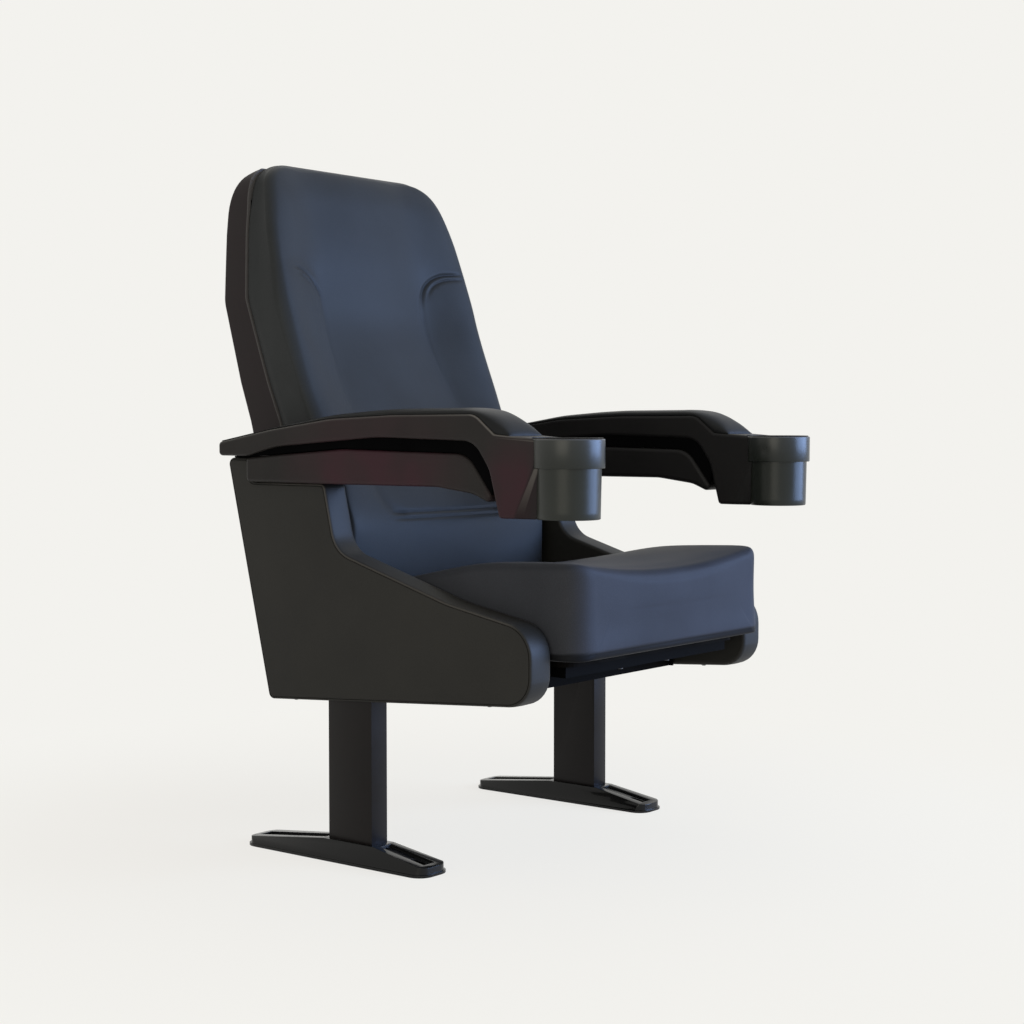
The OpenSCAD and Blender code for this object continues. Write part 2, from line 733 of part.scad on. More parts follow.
module pivot_bushes() {
    color("#c9a45a")
        on_both_sides()
            difference() {
                bar_x(bush_r, plate_x, inner_x, pivot_y, pivot_z);
                bar_x(pivot_r + running_gap, plate_x - over, inner_x + over, pivot_y, pivot_z);
            }
}

// Padded side panels over the columns
module side_panel() {
    difference() {
        slab(rounded(panel_corners), panel_thickness, panel_edge);
        block([column_width + 2 * fit_gap, column_depth + 2 * fit_gap, column_top_z + fit_gap],
            [0, column_y, 0]);
        gusset(fit_gap);
        block([saddle_width + 2 * fit_gap, saddle_to_y - saddle_from_y + 2 * fit_gap,
            saddle_thickness + fit_gap + over], [0, (saddle_from_y + saddle_to_y) / 2, saddle_z - fit_gap]);
        bolt_head_room();
        for (place = plate_bolt_places)
            bar_x(plate_bolt_r + fit_gap, inner_x - over, -column_width / 2, place[0], place[1]);
        for (place = panel_screw_places)
            bar_z(panel_screw_r + fit_gap, 0, place[0], place[1] - panel_screw_r,
                place[1] + panel_screw_length);
    }
}

module right_side_panel() { color("#34332f") on_side(-1) side_panel(); }
module left_side_panel() { color("#34332f") on_side(1) side_panel(); }

module panel_screws() {
    color("#1a1a1c")
        on_both_sides()
            for (place = panel_screw_places) {
                bar_z(panel_screw_r, 0, place[0], place[1] - panel_screw_head / 2,
                    place[1] + panel_screw_length - over);
                translate([0, place[0], place[1] - panel_screw_head])
                    cylinder(r1 = panel_screw_r, r2 = 2.4 * panel_screw_r,
                        h = panel_screw_head - 1.6 * fit_gap, $fn = round_fn);
            }
}

// Cross tubes between the two side plates
module cross_tube(y) {
    length = stand_spacing + 2 * plate_x;
    difference() {
        block([length, cross_tube_depth, cross_tube_height], [0, y, cross_bottom_z]);
        block([length + 2 * over, cross_tube_depth - 2 * cross_tube_wall,
            cross_tube_height - 2 * cross_tube_wall], [0, y, cross_bottom_z + cross_tube_wall]);
    }
}

module front_cross_tube() { color("#2c2d30") in_place() cross_tube(front_tube_y); }
module rear_cross_tube() { color("#2c2d30") in_place() cross_tube(rear_tube_y); }

// Fixed arm beams, their bolts and the buffers on them
module arm_beam() {
    difference() {
        slab(rounded(beam_corners), beam_width, beam_edge);
        for (y = beam_bolt_places)
            bar_z(beam_bolt_r + fit_gap, 0, y, beam_seat_z - over, beam_seat_z + beam_bolt_depth);
    }
}

module right_arm_beam() { color("#2f2a2b") on_side(-1) arm_beam(); }
module left_arm_beam() { color("#2f2a2b") on_side(1) arm_beam(); }

module beam_bolts() {
    color("#8a8c90")
        on_both_sides()
            for (y = beam_bolt_places) {
                bar_z(beam_bolt_r, 0, y, saddle_z - beam_bolt_r / 2, beam_seat_z + beam_bolt_depth - over);
                bar_z(1.7 * beam_bolt_r, 0, y, saddle_z - beam_bolt_r, saddle_z);
            }
}

module arm_buffers() {
    low = height_at(beam_corners[3], beam_corners[2], buffer_y + buffer_r);
    high = height_at(arm_corners[3], arm_corners[4], buffer_y - buffer_r) - fit_gap;
    color("#141414")
        on_both_sides()
            bar_z(buffer_r, 0, buffer_y, low, high);
}

// Hinges of the lifting arms
module arm_bracket() {
    difference() {
        union() {
            bar_x(knuckle_r, -lug_half, lug_half, hinge_y, hinge_z);
            block([2 * lug_half, 1.2 * knuckle_r, hinge_z - panel_top_z],
                [0, hinge_y - 0.2 * knuckle_r, panel_top_z]);
            block([2 * bracket_half, hinge_y - bracket_front_y, bracket_plate],
                [0, (hinge_y + bracket_front_y) / 2, panel_top_z]);
        }
        bar_x(hinge_pin_r + running_gap, -lug_half - over, lug_half + over, hinge_y, hinge_z);
    }
}

module right_arm_bracket() { color("#2c2d30") on_side(-1) arm_bracket(); }
module left_arm_bracket() { color("#2c2d30") on_side(1) arm_bracket(); }

module arm_pin() { bar_x(hinge_pin_r, -knuckle_outer, knuckle_outer, hinge_y, hinge_z); }
module right_arm_pin() { color("#9a9ca0") on_side(-1) arm_pin(); }
module left_arm_pin() { color("#9a9ca0") on_side(1) arm_pin(); }

module arm_hinge() {
    tongue_rear_y = hinge_y - 1.5 * knuckle_r;
    ear = tongue_half - lug_half - move_gap;
    difference() {
        union() {
            mirrored_pair() {
                bar_x(knuckle_r, lug_half + move_gap, knuckle_outer, hinge_y, hinge_z);
                block([ear, 2 * knuckle_r, tongue_thickness],
                    [tongue_half - ear / 2, hinge_y - knuckle_r, tongue_low_z]);
            }
            block([2 * tongue_half, tongue_rear_y - tongue_front_y, tongue_thickness],
                [0, (tongue_rear_y + tongue_front_y) / 2, tongue_low_z]);
        }
        bar_x(hinge_pin_r + running_gap, -knuckle_outer - over, knuckle_outer + over, hinge_y, hinge_z);
        for (y = arm_screw_places)
            bar_z(arm_screw_r + fit_gap, 0, y, tongue_low_z - over, tongue_low_z + tongue_thickness + over);
    }
}

module right_arm_hinge() { color("#55565a") on_side(-1) arm_hinge(); }
module left_arm_hinge() { color("#55565a") on_side(1) arm_hinge(); }

module arm_screws() {
    for (y = arm_screw_places) {
        bar_z(arm_screw_r, 0, y, tongue_low_z - arm_screw_r / 2, tongue_low_z + 2.4 * tongue_thickness);
        bar_z(1.8 * arm_screw_r, 0, y, tongue_low_z - arm_screw_r, tongue_low_z);
    }
}

module right_arm_screws() { color("#8a8c90") on_side(-1) arm_screws(); }
module left_arm_screws() { color("#8a8c90") on_side(1) arm_screws(); }

// Lifting arms
module arm_shell() {
    slot_front_y = hinge_y - 2 * knuckle_r - move_gap;
    slot_half = knuckle_outer + move_gap;
    difference() {
        union() {
            slab(arm_outline, arm_width, arm_edge);
            block([2 * neck_half, ring_r + arm_edge, ring_top_z - ring_height - arm_low_z],
                [0, cup_y + (ring_r + arm_edge) / 2 + arm_edge, arm_low_z]);
        }
        bar_z(ring_r + fit_gap, 0, cup_y, ring_top_z - ring_height - fit_gap, arm_top_z);
        bar_z(cup_r + fit_gap, 0, cup_y, arm_low_z - over, ring_top_z);
        block([2 * slot_half, arm_rear_y + over - slot_front_y, 2 * knuckle_r + hinge_inset],
            [0, (arm_rear_y + over + slot_front_y) / 2, hinge_z - knuckle_r - hinge_inset + move_gap]);
        block([2 * tongue_half + 2 * fit_gap, slot_front_y + over - tongue_front_y + fit_gap, 3 * tongue_thickness],
            [0, (slot_front_y + over + tongue_front_y - fit_gap) / 2, tongue_low_z - 2 * tongue_thickness]);
        for (y = arm_screw_places)
            bar_z(arm_screw_r + fit_gap, 0, y, tongue_low_z, tongue_low_z + 2.5 * tongue_thickness);
    }
}

module right_arm_shell() { color("#2f2a2b") on_side(-1) arm_shell(); }
module left_arm_shell() { color("#2f2a2b") on_side(1) arm_shell(); }

// Top pads, crowned across and rounded down to the deck at the nose
pad_cross_shares = [-1, -0.85, -0.55, -0.2, 0.2, 0.55, 0.85, 1];
pad_rise_shares = [0, 0.55, 0.86, 1, 1, 0.86, 0.55, 0];
nose_from_y = pad_nose_y + nose_length;
nose_height = arm_top_z + pad_crown - ring_top_z;

function pad_rise(p) =
    let (t = min(0.98, max(0, (nose_from_y - p[0]) / nose_length)),
        fade = min(1, max(0.3, (arm_rear_y - p[0]) / (4 * pad_width))))
    t == 0 ? pad_crown * fade : ring_top_z + nose_height * pow(1 - t * t, 0.62) - p[1] - pad_rim;

module arm_pad() {
    loft([for (i = [len(pad_line) - 1:-1:0])
        let (p = pad_line[i], rise = max(pad_rim, pad_rise(p)))
        concat(
            [[-pad_width / 2, p[0], p[1]]],
            [for (j = [0:len(pad_cross_shares) - 1])
                [pad_cross_shares[j] * pad_width / 2, p[0], p[1] + pad_rim + rise * pad_rise_shares[j]]],
            [[pad_width / 2, p[0], p[1]]])], 1);
}

module right_arm_pad() { color("#3c4046") on_side(-1) arm_pad(); }
module left_arm_pad() { color("#3c4046") on_side(1) arm_pad(); }

// Cup holders: rim band, outer cup and removable liner
module cup_ring() {
    difference() {
        bar_z(ring_r, 0, cup_y, ring_top_z - ring_height, ring_top_z);
        bar_z(ring_r - ring_wall, 0, cup_y, ring_top_z - ring_height - over, ring_top_z + over);
    }
}

module right_cup_ring() { color("#2d2f33") on_side(-1) cup_ring(); }
module left_cup_ring() { color("#2d2f33") on_side(1) cup_ring(); }

module cup_body() {
    translate([0, cup_y, 0])
        rotate_extrude($fn = round_fn)
            polygon([[0, cup_bottom_z], [cup_r - cup_taper, cup_bottom_z], [cup_r, ring_top_z - ring_height],
                [cup_r, ring_top_z], [liner_r + fit_gap, ring_top_z], [liner_r + fit_gap, cup_bottom_z + cup_floor],
                [0, cup_bottom_z + cup_floor]]);
}

module right_cup_body() { color("#26282b") on_side(-1) cup_body(); }
module left_cup_body() { color("#26282b") on_side(1) cup_body(); }

module cup_liner() {
    low = cup_bottom_z + cup_floor + fit_gap;
    translate([0, cup_y, 0])
        rotate_extrude($fn = round_fn)
            polygon([[0, low], [liner_r, low], [liner_r, ring_top_z], [liner_lip_r, ring_top_z],
                [liner_lip_r, ring_top_z + liner_flange], [well_r, ring_top_z + liner_flange],
                [well_r, low + liner_wall], [0, low + liner_wall]]);
}

module right_cup_liner() { color("#202124") on_side(-1) cup_liner(); }
module left_cup_liner() { color("#202124") on_side(1) cup_liner(); }

// Slide under the seat
module seat_rails() {
    color("#6a6b6e")
        in_place()
            mirrored_pair()
                translate([rail_x, 0, 0])
                    difference() {
                        block([rail_width, rail_rear_y - rail_front_y, rail_wall + rail_height],
                            [0, (rail_front_y + rail_rear_y) / 2, cross_top_z]);
                        block([rail_width - 2 * rail_wall, rail_rear_y - rail_front_y + 2 * over,
                            rail_height + over], [0, (rail_front_y + rail_rear_y) / 2, rail_floor_z]);
                    }
}

module seat_stops() {
    color("#141414")
        in_place()
            mirrored_pair()
                block([rail_width - 2 * rail_wall, stop_length, 0.8 * rail_height],
                    [rail_x, rail_rear_y - stop_length / 2, rail_floor_z]);
}

module seat_shoes() {
    color("#d8d8d2")
        in_place()
            mirrored_pair()
                for (y = [front_shoe_y, rear_shoe_y])
                    block([rail_width - 2 * rail_wall - 2 * fit_gap, shoe_length, tube_low_z - rail_floor_z - fit_gap],
                        [rail_x, y, rail_floor_z + fit_gap]);
}

module strut_bodies() {
    front = front_tube_y + cross_tube_depth / 2;
    color("#3a3b3f")
        in_place()
            mirrored_pair()
                difference() {
                    bar_y(strut_r, front, front + strut_length, strut_x, strut_z);
                    bar_y(rod_r + move_gap, front + 2 * strut_r, front + strut_length + over, strut_x, strut_z);
                }
}

module strut_rods() {
    color("#b8babd")
        in_place()
            mirrored_pair()
                bar_y(rod_r, tab_y - rod_length, tab_y, strut_x, strut_z);
}

// Seat frame with its rear lugs, whose slots the back's drive pins push
module seat_tube(size, place) {
    difference() {
        block(size, place);
        block([size[0] - 2 * seat_tube_wall, size[1] - 2 * seat_tube_wall, size[2] - 2 * seat_tube_wall],
            [place[0], place[1], place[2] + seat_tube_wall]);
    }
}

module seat_frame() {
    length = seat_frame_rear_y + seat_tube_width / 2 - seat_frame_front_y + seat_tube_width / 2;
    middle_y = (seat_frame_rear_y + seat_frame_front_y) / 2;
    lug_top = drive_z + recline_lift + drive_pin_r + move_gap + tab_thickness * 0.7;
    lug_rear_y = pivot_y + drive_pin_r + move_gap + tab_thickness;
    color("#2c2d30")
        in_place()
            difference() {
                union() {
                    for (y = [seat_frame_front_y, seat_frame_rear_y])
                        seat_tube([2 * rail_x - seat_tube_width, seat_tube_width, seat_tube_height],
                            [0, y, tube_low_z]);
                    mirrored_pair() {
                        seat_tube([seat_tube_width, length, seat_tube_height], [rail_x, middle_y, tube_low_z]);
                        translate([lug_x, 0, 0])
                            plate([[seat_frame_rear_y, tube_low_z], [lug_rear_y, tube_low_z],
                                [lug_rear_y, lug_top], [pivot_y - 2 * drive_pin_r, lug_top],
                                [seat_rear_y, board_low_z], [seat_frame_rear_y, board_low_z]], lug_thickness);
                        block([2 * strut_r, tab_thickness, tube_low_z - strut_z + strut_r + seat_tube_wall],
                            [strut_x, tab_y + tab_thickness / 2, strut_z - strut_r]);
                    }
                }
                mirrored_pair() {
                    for (z = [drive_z, drive_z + recline_lift])
                        bar_x(drive_pin_r + move_gap, lug_x - lug_thickness, lug_x + lug_thickness, pivot_y, z);
                    block([2 * lug_thickness, 2 * drive_pin_r + 2 * move_gap, recline_lift],
                        [lug_x, pivot_y, drive_z]);
                }
                for (x = [-1, 1]) for (y = [seat_frame_front_y, seat_frame_rear_y])
                    bar_z(seat_screw_r + fit_gap, x * seat_screw_x, y, tube_low_z - over, board_low_z + over);
            }
}

seat_screw_r = 3;
seat_screw_x = rail_x * 0.31;

module seat_screws() {
    color("#8a8c90")
        in_place()
            for (x = [-1, 1]) for (y = [seat_frame_front_y, seat_frame_rear_y]) {
                bar_z(seat_screw_r, x * seat_screw_x, y, tube_low_z - seat_screw_r / 2,
                    seat_bottom_z - seat_board_thickness / 4);
                bar_z(1.8 * seat_screw_r, x * seat_screw_x, y, tube_low_z - seat_screw_r, tube_low_z);
            }
}

module seat_board() {
    length = seat_rear_y - seat_front_y - 2 * seat_board_inset;
    color("#161617")
        in_place()
            difference() {
                translate([0, (seat_rear_y + seat_front_y) / 2, board_low_z])
                    plan_plate(length, seat_width - 2 * seat_board_inset, seat_board_inset, seat_board_thickness);
                for (x = [-1, 1]) for (y = [seat_frame_front_y, seat_frame_rear_y])
                    bar_z(seat_screw_r + fit_gap, x * seat_screw_x, y, board_low_z - over,
                        seat_bottom_z - seat_board_thickness / 5);
            }
}

// Seat cushion: rings along its depth, dished across, with rounded front corners and edges
seat_depth_shares = [[0, 0.61], [0.18, 0.69], [0.35, 0.8], [0.6, 0.95], [0.8, 0.99], [0.95, 1], [1, 1]];
seat_dish_shares = [[0, -0.2], [0.3, 0.2], [0.6, 0.7], [0.85, 1], [1, 1]];
seat_step_shares = [0, 0.004, 0.012, 0.026, 0.045, 0.075, 0.13, 0.2, 0.3, 0.42, 0.55, 0.7, 0.85, 0.95, 1];
seat_cross_shares = [0, 0.2, 0.4, 0.6, 0.8, 0.93];
seat_depth = seat_rear_y - seat_front_y;
seat_thickness = seat_top_z - seat_bottom_z;

function round_off(distance, radius) =
    distance >= radius ? 0 : radius - sqrt(radius * radius - pow(radius - distance, 2));

function seat_ring(d) =
    let (share = 1 - d / seat_depth,
        half = seat_width / 2 - round_off(d, seat_corner),
        drop = round_off(d, seat_edge),
        lift = round_off(d, seat_lower_edge),
        low = seat_bottom_z + lift,
        edge_z = seat_bottom_z + seat_thickness * lookup(share, seat_depth_shares) - drop,
        dish = seat_dish * lookup(share, seat_dish_shares),
        flat_half = half - seat_edge,
        rim = edge_z - seat_edge,
        across = concat([for (i = [len(seat_cross_shares) - 1:-1:0]) -seat_cross_shares[i]],
            [for (i = [1:len(seat_cross_shares) - 1]) seat_cross_shares[i]]),
        turn_shares = [1, 2, 3])
    concat(
        [[-half + seat_lower_edge, seat_front_y + d, low], [-half, seat_front_y + d, low + seat_lower_edge]],
        [[-half, seat_front_y + d, rim]],
        [for (i = turn_shares)
            [-flat_half - seat_edge * cos(90 * i / 4), seat_front_y + d, rim + seat_edge * sin(90 * i / 4)]],
        [for (s = across) [s * flat_half, seat_front_y + d, edge_z - dish * (1 - s * s)]],
        [for (i = [3, 2, 1])
            [flat_half + seat_edge * cos(90 * i / 4), seat_front_y + d, rim + seat_edge * sin(90 * i / 4)]],
        [[half, seat_front_y + d, rim]],
        [[half, seat_front_y + d, low + seat_lower_edge], [half - seat_lower_edge, seat_front_y + d, low]]);

module seat_cushion() {
    color("#3b4256")
        in_place()
            loft([for (s = seat_step_shares) seat_ring(s * seat_depth)], 1);
}

// Back cushion: rings up its height, with wings, a hollow middle and sewn channels
level_shares = [0, 0.013, 0.07, 0.135, 0.195, 0.2135, 0.2232, 0.232, 0.27, 0.316, 0.37, 0.432, 0.49, 0.549,
    0.6, 0.655, 0.695, 0.726, 0.745, 0.757, 0.769, 0.797, 0.853, 0.896, 0.938, 0.962, 0.98, 0.994, 1];
upright_channel_shares = [[0.2135, 0], [0.2232, 1], [0.316, 0.8], [0.37, 0], [0.49, 0], [0.549, 0.7],
    [0.655, 1], [0.745, 1], [0.757, 0.5], [0.769, 0]];
lumbar_level_share = 0.2232;
wing_level_share = 0.757;
middle_shares = [0, 0.34, 0.67];
wing_cross_shares = [0.3, 0.55, 0.8];
back_crown = 6;
side_pull = 3;
board_top_share = 0.83;
arc_steps = 4;

// How far out the front face and the wing channels reach at a height
function front_reach(z) = back_half(z) - back_edge;
function wing_at(z) = min(wing_x, 0.8 * front_reach(z));

function back_front_point(z, x, sink) =
    let (t = max(0, min(1, (abs(x) - wing_at(z)) / (front_reach(z) - wing_at(z)))),
        hollow = wing_depth * lookup(back_share(z), wing_shares) * (1 + cos(180 * t)) / 2,
        crown = back_crown * min(1, back_share(z) / lumbar_level_share) * max(0, 1 - pow(x / wing_at(z), 2)))
    [x, min(front_y(z) + hollow - crown + sink, seam_y(z) - back_crown), z];

function front_half(z, side) =
    let (share = back_share(z),
        reach = front_reach(z),
        wing = wing_at(z),
        half = min(channel_half, (reach - wing) / 5),
        lumbar = abs(share - lumbar_level_share) < 0.001 ? channel_sink : 0,
        cross = abs(share - wing_level_share) < 0.001 ? channel_sink : 0,
        upright = channel_sink * lookup(share, upright_channel_shares))
    concat(
        [for (s = middle_shares) [side * s * wing, lumbar]],
        [[side * (wing - half), lumbar], [side * wing, max(upright, lumbar)], [side * (wing + half), cross]],
        [for (s = wing_cross_shares) [side * mix(wing + half, reach, s), cross]]);

function back_ring(z) =
    let (half = back_half(z),
        left = front_half(z, -1),
        right = front_half(z, 1),
        seam = seam_y(z),
        front = front_y(z),
        edge = min(back_edge, (seam - front) / 2),
        line = concat([for (i = [len(left) - 1:-1:0]) left[i]], [for (i = [1:len(right) - 1]) right[i]]))
    concat(
        [[-half, seam, z], [-half + side_pull, (seam + front + edge) / 2, z]],
        [for (i = [0:arc_steps])
            [-half + back_edge * (1 - cos(90 * i / arc_steps)), front + edge * (1 - sin(90 * i / arc_steps)), z]],
        [for (p = line) back_front_point(z, p[0], p[1])],
        [for (i = [arc_steps:-1:0])
            [half - back_edge * (1 - cos(90 * i / arc_steps)), front + edge * (1 - sin(90 * i / arc_steps)), z]],
        [[half - side_pull, (seam + front + edge) / 2, z], [half, seam, z]]);

module back_cushion() {
    color("#3e4a5c")
        in_place()
            loft([for (s = level_shares) back_ring(back_bottom_z + s * back_height)], 2);
}

// Rear shell of the back, hollow and open towards the board
shell_level_shares = [0, 0.1, 0.3, 0.5, 0.686, 0.695, 0.76, 0.83, 0.888, 0.915, 0.938, 0.955, 0.966, 0.98, 0.9887];
cavity_level_shares = [0.1, 0.3, 0.5, 0.686, 0.695, 0.76, 0.83, 0.888, 0.915, 0.938];

function shell_ring(z, inset, reach) =
    let (half = back_half(z) - inset,
        seam = seam_y(z) - reach,
        rear = max(rear_y(z) - inset, seam + shell_wall / 4),
        radius = min(shell_edge - inset, 0.9 * (rear - seam)))
    concat(
        [[-half, seam, z], [half, seam, z]],
        [for (i = [0:arc_steps])
            [half - radius * (1 - cos(90 * i / arc_steps)), rear - radius * (1 - sin(90 * i / arc_steps)), z]],
        [for (i = [arc_steps:-1:0])
            [-half + radius * (1 - cos(90 * i / arc_steps)), rear - radius * (1 - sin(90 * i / arc_steps)), z]]);

module back_shell() {
    color("#232123")
        in_place()
            difference() {
                loft([for (s = shell_level_shares) shell_ring(back_bottom_z + s * back_height, 0, 0)], 2);
                loft(concat([shell_ring(back_bottom_z + shell_wall, shell_wall, over)],
                    [for (s = cavity_level_shares) shell_ring(back_bottom_z + s * back_height, shell_wall, over)]), 2);
                mirrored_pair() {
                    bar_x(pivot_r + move_gap, upright_x, back_width, pivot_y, pivot_z);
                    block([link_thickness + 2 * move_gap, pivot_y + link_boss_r - seam_y(back_bottom_z) - board_y,
                        2 * shell_wall + over], [link_x, (pivot_y + link_boss_r + seam_y(back_bottom_z) + board_y) / 2,
                        back_bottom_z - over]);
                }
            }
}

module back_board() {
    low = back_bottom_z + shell_wall + fit_gap;
    kink = back_bottom_z + seam_shares[1][0] * back_height;
    top = back_bottom_z + board_top_share * back_height;
    edge_levels = [for (s = level_shares) if (s > seam_shares[1][0] && s < board_top_share)
        back_bottom_z + s * back_height];
    levels = concat([low, kink], edge_levels, [top]);
    color("#8b7355")
        in_place()
            difference() {
                intersection() {
                    plate([[seam_y(low) + fit_gap, low], [seam_y(low) + board_y, low],
                        [seam_y(kink) + board_y, kink], [seam_y(top) + board_y, top],
                        [seam_y(top) + fit_gap, top], [seam_y(kink) + fit_gap, kink]], back_width);
                    rotate([90, 0, 0])
                        translate([0, 0, -back_rear_y])
                            linear_extrude(back_rear_y - back_front_y)
                                polygon(concat(
                                    [for (z = levels) [back_half(z) - shell_wall - fit_gap, z]],
                                    [for (i = [len(levels) - 1:-1:0])
                                        [shell_wall + fit_gap - back_half(levels[i]), levels[i]]]));
                }
                back_screw_holes();
            }
}

// Steel frame inside the back: two uprights, two cross bars and the links down to the seat
link_thickness = 6;
link_x = upright_x - link_thickness / 2;
link_boss_r = 2.2 * drive_pin_r;
frame_low_z = back_bottom_z + shell_wall + move_gap;
frame_top_z = back_bottom_z + 0.672 * back_height;
back_screw_r = 2.5;
back_screw_x = upright_x * 0.51;
back_screw_places = [frame_low_z + back_tube * 0.75, frame_top_z - back_tube * 0.75];
upright_screw_tilt = -90 - atan(seam_slant);

function link_front_y(z) = seam_y(z) + board_y + back_tube_wall;

module slanted_bar(x_from, x_to, z_from, z_to, wall) {
    front_gap = board_y + wall * along_y;
    rear_gap = board_y + tube_y - wall * along_y;
    translate([(x_from + x_to) / 2, 0, 0])
        plate([[seam_y(z_from) + front_gap, z_from], [seam_y(z_from) + rear_gap, z_from],
            [seam_y(z_to) + rear_gap, z_to], [seam_y(z_to) + front_gap, z_to]], x_to - x_from);
}

module back_screw_holes() {
    for (x = [-1, 1]) for (z = back_screw_places)
        translate([x * back_screw_x, seam_y(z) + board_y + tube_y, z])
            rotate([upright_screw_tilt, 0, 0])
                translate([0, 0, -back_tube - back_board_thickness * 0.8])
                    cylinder(r = back_screw_r + fit_gap, h = back_tube + back_board_thickness, $fn = round_fn);
}

module back_frame() {
    color("#2c2d30")
        in_place()
            difference() {
                union() {
                    mirrored_pair() {
                        difference() {
                            slanted_bar(upright_x - back_tube, upright_x, frame_low_z, frame_top_z, 0);
                            slanted_bar(upright_x - back_tube + back_tube_wall, upright_x - back_tube_wall,
                                frame_low_z + back_tube_wall, frame_top_z - back_tube_wall, back_tube_wall);
                        }
                        translate([link_x, 0, 0]) {
                            plate([[link_front_y(frame_low_z + back_tube), frame_low_z + back_tube],
                                [link_front_y(frame_low_z), frame_low_z],
                                [pivot_y - link_boss_r * 0.9, drive_z - link_boss_r * 0.4],
                                [pivot_y + link_boss_r * 0.9, drive_z + link_boss_r * 0.4],
                                [seam_y(frame_low_z + back_tube) + board_y + tube_y, frame_low_z + back_tube]],
                                link_thickness);
                            bar_x(link_boss_r, -link_thickness / 2, link_thickness / 2, pivot_y, drive_z);
                        }
                        bar_x(drive_pin_r, lug_x - lug_thickness / 2 - move_gap, link_x, pivot_y, drive_z);
                    }
                    for (z = back_screw_places)
                        slanted_bar(back_tube - upright_x, upright_x - back_tube, z - back_tube / 2,
                            z + back_tube / 2, 0);
                }
                mirrored_pair()
                    bar_x(pivot_r + running_gap, upright_x - back_tube - over, upright_x + over, pivot_y, pivot_z);
                back_screw_holes();
            }
}

module back_pins() {
    color("#9a9ca0")
        in_place()
            mirrored_pair()
                bar_x(pivot_r, upright_x - back_tube, stand_spacing / 2 + inner_x - fit_gap, pivot_y, pivot_z);
}

module back_screws() {
    color("#8a8c90")
        in_place()
            for (x = [-1, 1]) for (z = back_screw_places)
                translate([x * back_screw_x, seam_y(z) + board_y + tube_y, z])
                    rotate([upright_screw_tilt, 0, 0]) {
                        translate([0, 0, -back_tube - back_board_thickness * 0.7])
                            cylinder(r = back_screw_r, h = back_tube + back_board_thickness * 0.7 + back_screw_r / 2,
                                $fn = round_fn);
                        cylinder(r = 1.8 * back_screw_r, h = back_screw_r, $fn = round_fn);
                    }
}

right_foot();
left_foot();
right_column();
left_column();
column_bolts();
right_side_frame();
left_side_frame();
right_side_plate();
left_side_plate();
plate_bolts();
right_side_panel();
left_side_panel();
panel_screws();
right_arm_beam();
left_arm_beam();
beam_bolts();
right_arm_bracket();
left_arm_bracket();
right_arm_pin();
left_arm_pin();
arm_buffers();
front_cross_tube();
rear_cross_tube();
seat_rails();
seat_stops();
strut_bodies();
pivot_bushes();
seat_cushion();
seat_board();
seat_frame();
seat_shoes();
strut_rods();
seat_screws();
back_cushion();
back_board();
back_shell();
back_frame();
back_pins();
back_screws();
right_arm_shell();
left_arm_shell();
right_arm_pad();
left_arm_pad();
right_arm_hinge();
left_arm_hinge();
right_arm_screws();
left_arm_screws();
right_cup_ring();
left_cup_ring();
right_cup_body();
left_cup_body();
right_cup_liner();
left_cup_liner();
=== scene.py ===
"""Looks of a cinema recliner seat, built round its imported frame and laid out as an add-on."""

import json
import math

import bmesh
import bpy
import numpy as np
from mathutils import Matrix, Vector


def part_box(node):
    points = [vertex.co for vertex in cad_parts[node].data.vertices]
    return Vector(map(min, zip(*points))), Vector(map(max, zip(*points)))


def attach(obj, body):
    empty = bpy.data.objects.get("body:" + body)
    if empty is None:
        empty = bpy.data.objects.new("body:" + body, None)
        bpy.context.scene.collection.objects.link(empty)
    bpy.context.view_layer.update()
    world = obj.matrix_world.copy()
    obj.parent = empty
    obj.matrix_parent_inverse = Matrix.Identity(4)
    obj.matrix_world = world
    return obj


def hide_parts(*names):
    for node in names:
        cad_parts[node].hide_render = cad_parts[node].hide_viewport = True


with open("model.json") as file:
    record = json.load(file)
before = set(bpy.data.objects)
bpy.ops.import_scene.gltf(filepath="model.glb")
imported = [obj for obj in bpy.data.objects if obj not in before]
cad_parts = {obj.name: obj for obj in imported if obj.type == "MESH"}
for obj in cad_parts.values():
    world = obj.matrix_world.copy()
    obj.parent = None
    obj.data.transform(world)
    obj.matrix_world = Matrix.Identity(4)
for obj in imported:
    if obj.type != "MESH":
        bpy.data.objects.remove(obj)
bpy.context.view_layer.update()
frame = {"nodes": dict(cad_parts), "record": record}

bl_info = {
    "name": "Cinema Recliner Seat",
    "version": (1, 0, 0),
    "blender": (4, 5, 0),
    "location": "View3D > Sidebar > Seat",
    "description": "Builds the upholstery, mouldings and finishes of a cinema recliner seat",
    "category": "Add Mesh",
}

MM = 0.001
SIDES = (("right", -1), ("left", 1))


def middle_of(node):
    low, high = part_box(node)
    return (low + high) / 2


STAND_X = middle_of("left_foot").x
FEET_Y = middle_of("left_foot").y
CUP_Y = middle_of("left_cup_body").y / MM - FEET_Y / MM
# The crease between an arm's leg and its cup: a point on it, and the way forward across it
CREASE = Vector((0, FEET_Y - 344.8 * MM, 0.51))
CREASE_WAY = Vector((0, -0.9061, -0.4229))


def at(x, y, z):
    """A place in the frame, from millimetres. y counts from the middle of the feet."""
    return (x * MM, FEET_Y + y * MM, z * MM)


def beside(side, x, y, z):
    """The same, with x counted outwards from the middle of one side's stand."""
    return (side * (STAND_X + x * MM), FEET_Y + y * MM, z * MM)


# ---------------------------------------------------------------- sizes and colours


def length(name, description, default):
    return bpy.props.FloatProperty(name=name, description=description, default=default, unit="LENGTH")


def paint(name, description, colour):
    return bpy.props.FloatVectorProperty(
        name=name, description=description, default=colour, size=3, subtype="COLOR", min=0, max=1)


